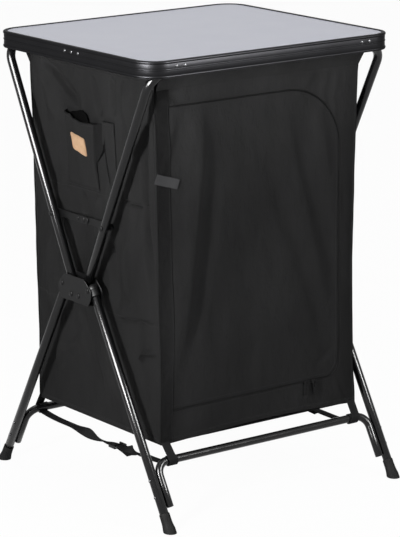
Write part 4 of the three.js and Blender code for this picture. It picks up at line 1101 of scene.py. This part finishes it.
sheet("zip_tape_frame", front_ribbon(1.2, 6), front_cloth, "front_panel", amount=0.4)
hinged(sheet("zip_tape_door", front_ribbon(-0.8, -5), front_cloth, None, amount=0.5))
coil_line = [front_point(x, z, 0.3) for x, z in spaced(outline_at(2.4), count=2300)]
coil_radii = [1.2 + (0.35 if k % 2 else -0.35) for k in range(len(coil_line))]
piece("zip_coil", tube(coil_line, 1.2, sides=8, radii=coil_radii), zip_plastic, "front_panel", ["zip_chain"],
      sharp=180)

zip_run_z = door_low - door_gap - 3 - fit
face = -cab_y - 1.6 - 2 * fit
for name, x, tilt in (("left_slider", 115, 7), ("right_slider", 135, -5)):
    body = slab(rounded([(x - 6, zip_run_z - 3.5), (x + 6, zip_run_z - 3.5), (x + 5, zip_run_z + 3.5),
                         (x - 5, zip_run_z + 3.5)], 2), face - 4.4, face - 0.1, on_y, 0.8)
    bridge = tube([(x, face - out, zip_run_z + rise) for out, rise in ((4, 3), (5.6, 1.6), (5.6, -1.6), (4, -3))],
                  0.9, sides=8)
    swing = Matrix.Translation((x, face - 4.2, zip_run_z)) @ Matrix.Rotation(radians(tilt), 4, "Y")
    pull = placed(wire_loop(rounded(box(0, 0, 3.2, 12.5), 3, 8), -12.5, 1.15), swing)
    grip = slab(rounded([(-4.3, -25.5), (4.3, -25.5), (3.4, -12), (-3.4, -12)], 2.4), -1.1, 1.1, on_y, 0.6)
    piece(f"{name}_body", joined(body, bridge, pull), zip_plastic, name, [name.replace("slider", "zip_slider")])
    piece(f"{name}_grip", placed(grip, swing), zip_plastic, name)


# ---- Door tie ----

TIE_PLACES = ((-247, 677), (-238, 673.5), (-225, 669.5), (-212, 665.5), (-200, 661.5))
tie_line = smooth_path([front_point(x, z, 3.4) for x, z in TIE_PLACES], 1.8)
tie_wide = [(0.05 + 0.05 * sin(i / 5), -0.05 * sin(i / 4), 1) for i in range(len(tie_line))]
hinged(piece("tie_band", section_sweep(tie_line, tie_wide, web_section(20, 1.5)), tie_web, None,
             ["door_tie"], sharp=50))


# ---- Pockets and label, on the left side ----

big_low, big_high, slim_low, slim_high = 616, 752, 630, 762
BIG_MOUTH = [(-20, 754), (25, 752), (46, 756), (65, 764), (92, 767)]
OUTWARD = (-1, 0, 0)


def pocket_face(low, high, front_edge, back_edge, mouth, depths, front_run, back_run, base):
    """Gives the function for points of a pocket's face. Its edges and mouth are curves; lift is off the face."""
    def point(y, z, lift=0.0):
        up = (z - low) / (high - low)
        near, far = curve(front_edge, z), curve(back_edge, z)
        place = mix(near, far, (y - front_edge[0][1]) / (back_edge[0][1] - front_edge[0][1]))
        wall = smooth((place - near) / front_run + 0.35) ** 0.8 * smooth((far - place) / back_run) ** 0.8
        crumple = waver(y, z, 71.0, 18, 26, 1.2) * wall * smooth(up / 0.2)
        stand = wall * mix(*depths, up) * smooth(up / 0.07) + crumple
        return -(cab_x + base + stand + lift), place, low + (curve(mouth, place) - low) * up
    return point


big_point = pocket_face(big_low, big_high, [(616, -20), (680, -12), (752, -19)], [(616, 92), (752, 92)], BIG_MOUTH,
                        (3.5, 14.5), 4, 14, 2.2)
slim_point = pocket_face(slim_low, slim_high, [(630, -88), (690, -76), (762, -72)],
                         [(630, -60), (703, -43), (762, -38)], [(0, slim_high)], (2.2, 4.4), 6, 3, 2.4)
big_ys = evenly(-20, -8, 1) + evenly(-6, 80, 2.6) + evenly(81, 92, 0.9)
slim_ys = evenly(-88, -80, 1) + evenly(-78, -64, 2) + evenly(-63, -60, 0.8)
for name, point, ys, low, high, solid, slack in (
        ("pocket_big", big_point, big_ys, big_low, big_high, "large_pocket", 1.085),
        ("pocket_slim", slim_point, slim_ys, slim_low, slim_high, "slim_pocket", 1.16)):
    rows = [[point(y, z) for y in ys] for z in evenly(low, high, 2.6)]
    made = gathers(sheet(name, grid(rows), side_cloth, "cabinet", [solid], 1.1))
    lines = ([point(y, high - 5, 0.9) for y in ys],
             [point(ys[-1] - 2.6, z, 0.9) for z in evenly(low + 3, high - 4, 3)],
             [point(y, low + 3.6, 0.9) for y in ys[2:-2]])
    gathers(seam(f"{name}_stitches", lines, OUTWARD, "cabinet", (3.6, 2.5, 0.36)))
    binding = tube([point(y, high - 0.4, 0.2) for y in ys], 1.3, sides=8)
    gathers(piece(f"{name}_binding", binding, tape_and_shade_cloth, "cabinet"))


def gusset_row(t):
    """Row of the big pocket's folded front gusset, from the pocket's edge to the side's wall."""
    outer = Vector(big_point(-20, mix(big_high, 676, t)))
    inner = Vector((-(cab_x + 2.6 + 0.5 * t), curve([(0, -43), (0.7, -41), (1, -14)], t),
                    curve([(0, 759), (0.7, 705), (1, 676)], t)))
    return [tuple(outer.lerp(inner, k) + Vector((4.2 * swell(k) * (1 - t) ** 0.6, 0, 0))) for k in split(0, 1, 14)]


def mouth_shade_row(y):
    """Row of a near-black sheet, painted shade, that stands for the shade inside the pocket's open mouth."""
    top = curve([(8, 750), (20, 768), (34, 773), (60, 768), (88, 760)], y)
    return [(-(cab_x + 6.5 + 2.5 * swell(t)), y, mix(732, top, t)) for t in split(0, 1, 12)]


def slit_row(t):
    """Row of a near-black sheet, painted shade, that stands for a shaded slit beside the slim pocket."""
    return [(-(cab_x + 5.4), mix(-43, -60, t) + w * 3.4 * swell(0.2 + 0.8 * t), mix(708, 634, t)) for w in (0, 0.5, 1)]


gusset_rows = [gusset_row(t) for t in split(0, 1, 40)]
# Painted shade: the gusset gets the darker tape cloth, and its fold and the pocket's mouth get near-black cloth, in
# place of shade.
for name, rows, mat, flat, area in (
        ("pocket_gusset", [row[:10] for row in gusset_rows], tape_and_shade_cloth, (0.0185, 0.0805), 0.00118),
        ("pocket_gusset_fold", [row[9:] for row in gusset_rows], painted_shade_cloth, (0.0125, 0.0805), 0.0007),
        ("pocket_inside", [mouth_shade_row(y) for y in evenly(8, 88, 2.5)], painted_shade_cloth, (0.08, 0.041), 0.00278)):
    gathers(sheet(name, grid(rows), mat, "cabinet", amount=0.8))
# Painted shade: a near-black strip beside the slim pocket.
gathers(sheet("slim_pocket_edge", grid([slit_row(t) for t in split(0, 1, 24)]), painted_shade_cloth, "cabinet", amount=0.8))

label_corners = ((53, 694), (4, 684), (12, 720), (62, 727))
label_wide, label_tall, label_round, label_rows = 50, 35, 4, 26


def label_point(a, b, lift):
    """Point of the label: a runs from its back edge to its front one, b from its foot to its top."""
    y, z = [mix(mix(p, q, a), mix(s, r, a), b) for p, q, r, s in zip(*label_corners)]
    return big_point(y, big_low + (z - big_low) * (big_high - big_low) / (curve(BIG_MOUTH, y) - big_low), lift)


rows = []
for j in range(label_rows + 1):
    near = min(j, label_rows - j) * 1.4
    pull = (label_round - sqrt(label_round ** 2 - max(label_round - near, 0) ** 2)) / label_wide
    rows.append([label_point(a, j / label_rows, 1.5) for a in split(pull, 1 - pull, 30)])
made = gathers(sheet("label_patch", grid(rows), label_leather, "cabinet", ["pocket_label"], 1.3))
corners = box(label_wide / 2, label_tall / 2, 22.5, 15.05)
line = [label_point(a / label_wide, b / label_tall, 2.2) for a, b in spaced(corners + corners[:1], 2)]
gathers(seam("label_stitches", [line], OUTWARD, "cabinet", (2.8, 2.0, 0.3), label_thread))


# ---- Straps, loops and adjusters under the cabinet ----

def strap_route(side):
    """Strap round both crossbars, slack and turned over once on the left."""
    ring = brace_radius + fit + web_thick / 2
    line = arc(-brace_y, brace_z, ring, 45, 270, 25)
    for y in evenly(-brace_y, brace_y, 5)[1:-1]:
        share = (y + brace_y) / (2 * brace_y)
        line.append((y, brace_z - ring - 5.5 * swell(share) ** 0.8 - 1.2 * sin(5 * pi * share)))
    route, wide = [], []
    for y, z in line + arc(brace_y, brace_z, ring, -90, 135, 25):
        turned = radians(180 * (smooth((112 - y) / 150) + smooth((-66 - y) / 70))) if side < 0 else 0
        route.append((side * (web_x + 5 * swell((y + brace_y) / (2 * brace_y))), y, z))
        wide.append((cos(turned), 0, sin(turned)))
    return route, wide


loop_start = (-cab_y + 0.8, cab_low + 8)
loop_ring = brace_radius + 2 * fit + 1.5 * web_thick
loop_arc = wrapped_round(loop_start, (-brace_y, brace_z), loop_ring, 148, 18)
loop_line = between(loop_start, loop_arc[0], 0, 0.25, 0.5, 0.75) + loop_arc
for name, side in SIDES:
    route, wide = strap_route(side)
    strap_gathers(piece(f"strap_{name}", section_sweep(route, wide, web_section()), strap_web, "front_lower",
                        [f"{name}_strap"], sharp=50))
    x, _, z = [p for p in route if abs(p[1] + 50) < 3 and p[2] < brace_z][0]
    bars = [pad((x, y), (14.8, 1.7), 1, z + level - 1, z + level + 1, on_z, 0.5)
            for y, level in ((-59, -1.9), (-49.8, 1.9), (-40.6, -1.9))]
    bars += [pad((x + dx, -49.85), (1.8, 10.95), 1.2, z - 3, z + 3, on_z, 0.8) for dx in (-13.2, 13.2)]
    strap_gathers(piece(f"adjuster_{name}", joined(*bars), moulded, "front_lower", [f"{name}_adjuster"]))
    tail = smooth_path([(x, -62, z - 1.8), (x + side * 2, -82, z - 3.4), (x + side * 5, -104, z - 6)], 3)
    tail = section_sweep(tail, [(1, 0, 0.1 * i / len(tail)) for i in range(len(tail))], web_section())
    strap_gathers(piece(f"strap_tail_{name}", tail, strap_web, "front_lower", sharp=50))

    route = [(side * (web_x + 6 * max(1 - i / 9, 0)), y, z) for i, (y, z) in enumerate(loop_line)]
    for end, way in ENDS:
        loop = mirrored(section_sweep(route, [(1, 0, 0)] * len(route), web_section()), 1, -way)
        gathers(piece(f"loop_{end}_{name}", loop, strap_web, "cabinet", [f"{end}_{name}_loop"], sharp=50))


# ---- Floor, light and camera ----

def area_light(name, place, target, size, power):
    lamp = bpy.data.lights.new(name, "AREA")
    lamp.shape = "RECTANGLE"
    lamp.size, lamp.size_y = size
    lamp.energy = power
    made = added(name, lamp)
    made.location = place
    made.rotation_euler = (Vector(target) - Vector(place)).to_track_quat("-Z", "Y").to_euler()
    return made


def lamp_round(name, way, reach, height, size, power):
    """Lamp aimed at the middle, way degrees round from the left side towards the front."""
    way = radians(way)
    return area_light(name, (-cos(way) * reach, -sin(way) * reach, height), (0, 0, 0.6), size, power)


def seen_white(owner, share, output, lit, **inputs):
    """Fills a tree with a lit shader, mixed to plain white by a share for rays from the camera, mirrors and glass."""
    owner.use_nodes = True
    owner.node_tree.nodes.clear()
    path = node(owner, "ShaderNodeLightPath")
    total, out = path, "Is Camera Ray"
    for other in ("Is Glossy Ray", "Is Transmission Ray"):
        either = node(owner, "ShaderNodeMath")
        either.operation = "MAXIMUM"
        link(owner, total, out, either, 0)
        link(owner, path, other, either, 1)
        total, out = either, "Value"
    scaled = node(owner, "ShaderNodeMath")
    scaled.operation = "MULTIPLY"
    scaled.inputs[1].default_value = share
    link(owner, total, out, scaled, 0)
    blend = node(owner, "ShaderNodeMixShader")
    white = "ShaderNodeBackground" if lit == "ShaderNodeBackground" else "ShaderNodeEmission"
    link(owner, scaled, 0, blend, 0)
    link(owner, node(owner, lit, **inputs), 0, blend, 1)
    link(owner, node(owner, white), 0, blend, 2)
    link(owner, blend, 0, node(owner, output), "Surface")


floor_reach = 30.0
floor_mesh = bpy.data.meshes.new("studio_floor")
floor_mesh.from_pydata([(x, y, 0) for x, y in box(0, 0, floor_reach, floor_reach)], [], [(0, 1, 2, 3)])
floor_mesh.materials.append(bpy.data.materials.new("studio_floor"))
seen_white(floor_mesh.materials[0], 0.97, "ShaderNodeOutputMaterial", "ShaderNodeBsdfDiffuse",
           Color=(0.86, 0.86, 0.86, 1))
added("studio_floor", floor_mesh)
world = bpy.data.worlds.new("studio")
bpy.context.scene.world = world
seen_white(world, 1.0, "ShaderNodeOutputWorld", "ShaderNodeBackground", Strength=0.06)

lamp_round("key_left", 23, 2.3, 1.1, (0.14, 0.4), 41)
lamp_round("key_front", 108, 1.3, 1.0, (0.3, 0.4), 5.3)
# Two soft boxes that only show as reflections
lamp_round("box_left", 12, 2.7, 1.9, (1.7, 1.5), 480).visible_diffuse = False
lamp_round("box_right", 109, 2.7, 1.8, (0.8, 1.3), 190).visible_diffuse = False
area_light("overhead", (0.2, 0.4, 3.2), (0, 0, 0.9), (2.4, 2.4), 46)

photo_width, focal_pixels, sensor = 400, 2746, 36
camera = added("camera", bpy.data.cameras.new("camera"))
camera.data.sensor_fit = "HORIZONTAL"
camera.data.sensor_width = sensor
camera.data.lens = sensor * focal_pixels / photo_width
camera.data.clip_end = 100
azimuth, elevation, roll = radians(-36.4), radians(13.8), radians(-0.4)
backward = Vector((sin(azimuth) * cos(elevation), -cos(azimuth) * cos(elevation),
                   sin(elevation)))
right = Vector((cos(azimuth), sin(azimuth), 0))
up = backward.cross(right)
right, up = right * cos(roll) + up * sin(roll), up * cos(roll) - right * sin(roll)
camera.matrix_world = Matrix.Translation((-3.2024, -4.3602, 1.7520)) @ Matrix((
    (right.x, up.x, backward.x, 0), (right.y, up.y, backward.y, 0), (right.z, up.z, backward.z, 0), (0, 0, 0, 1)))
bpy.context.scene.camera = camera
bpy.context.scene.view_settings.view_transform = "Standard"
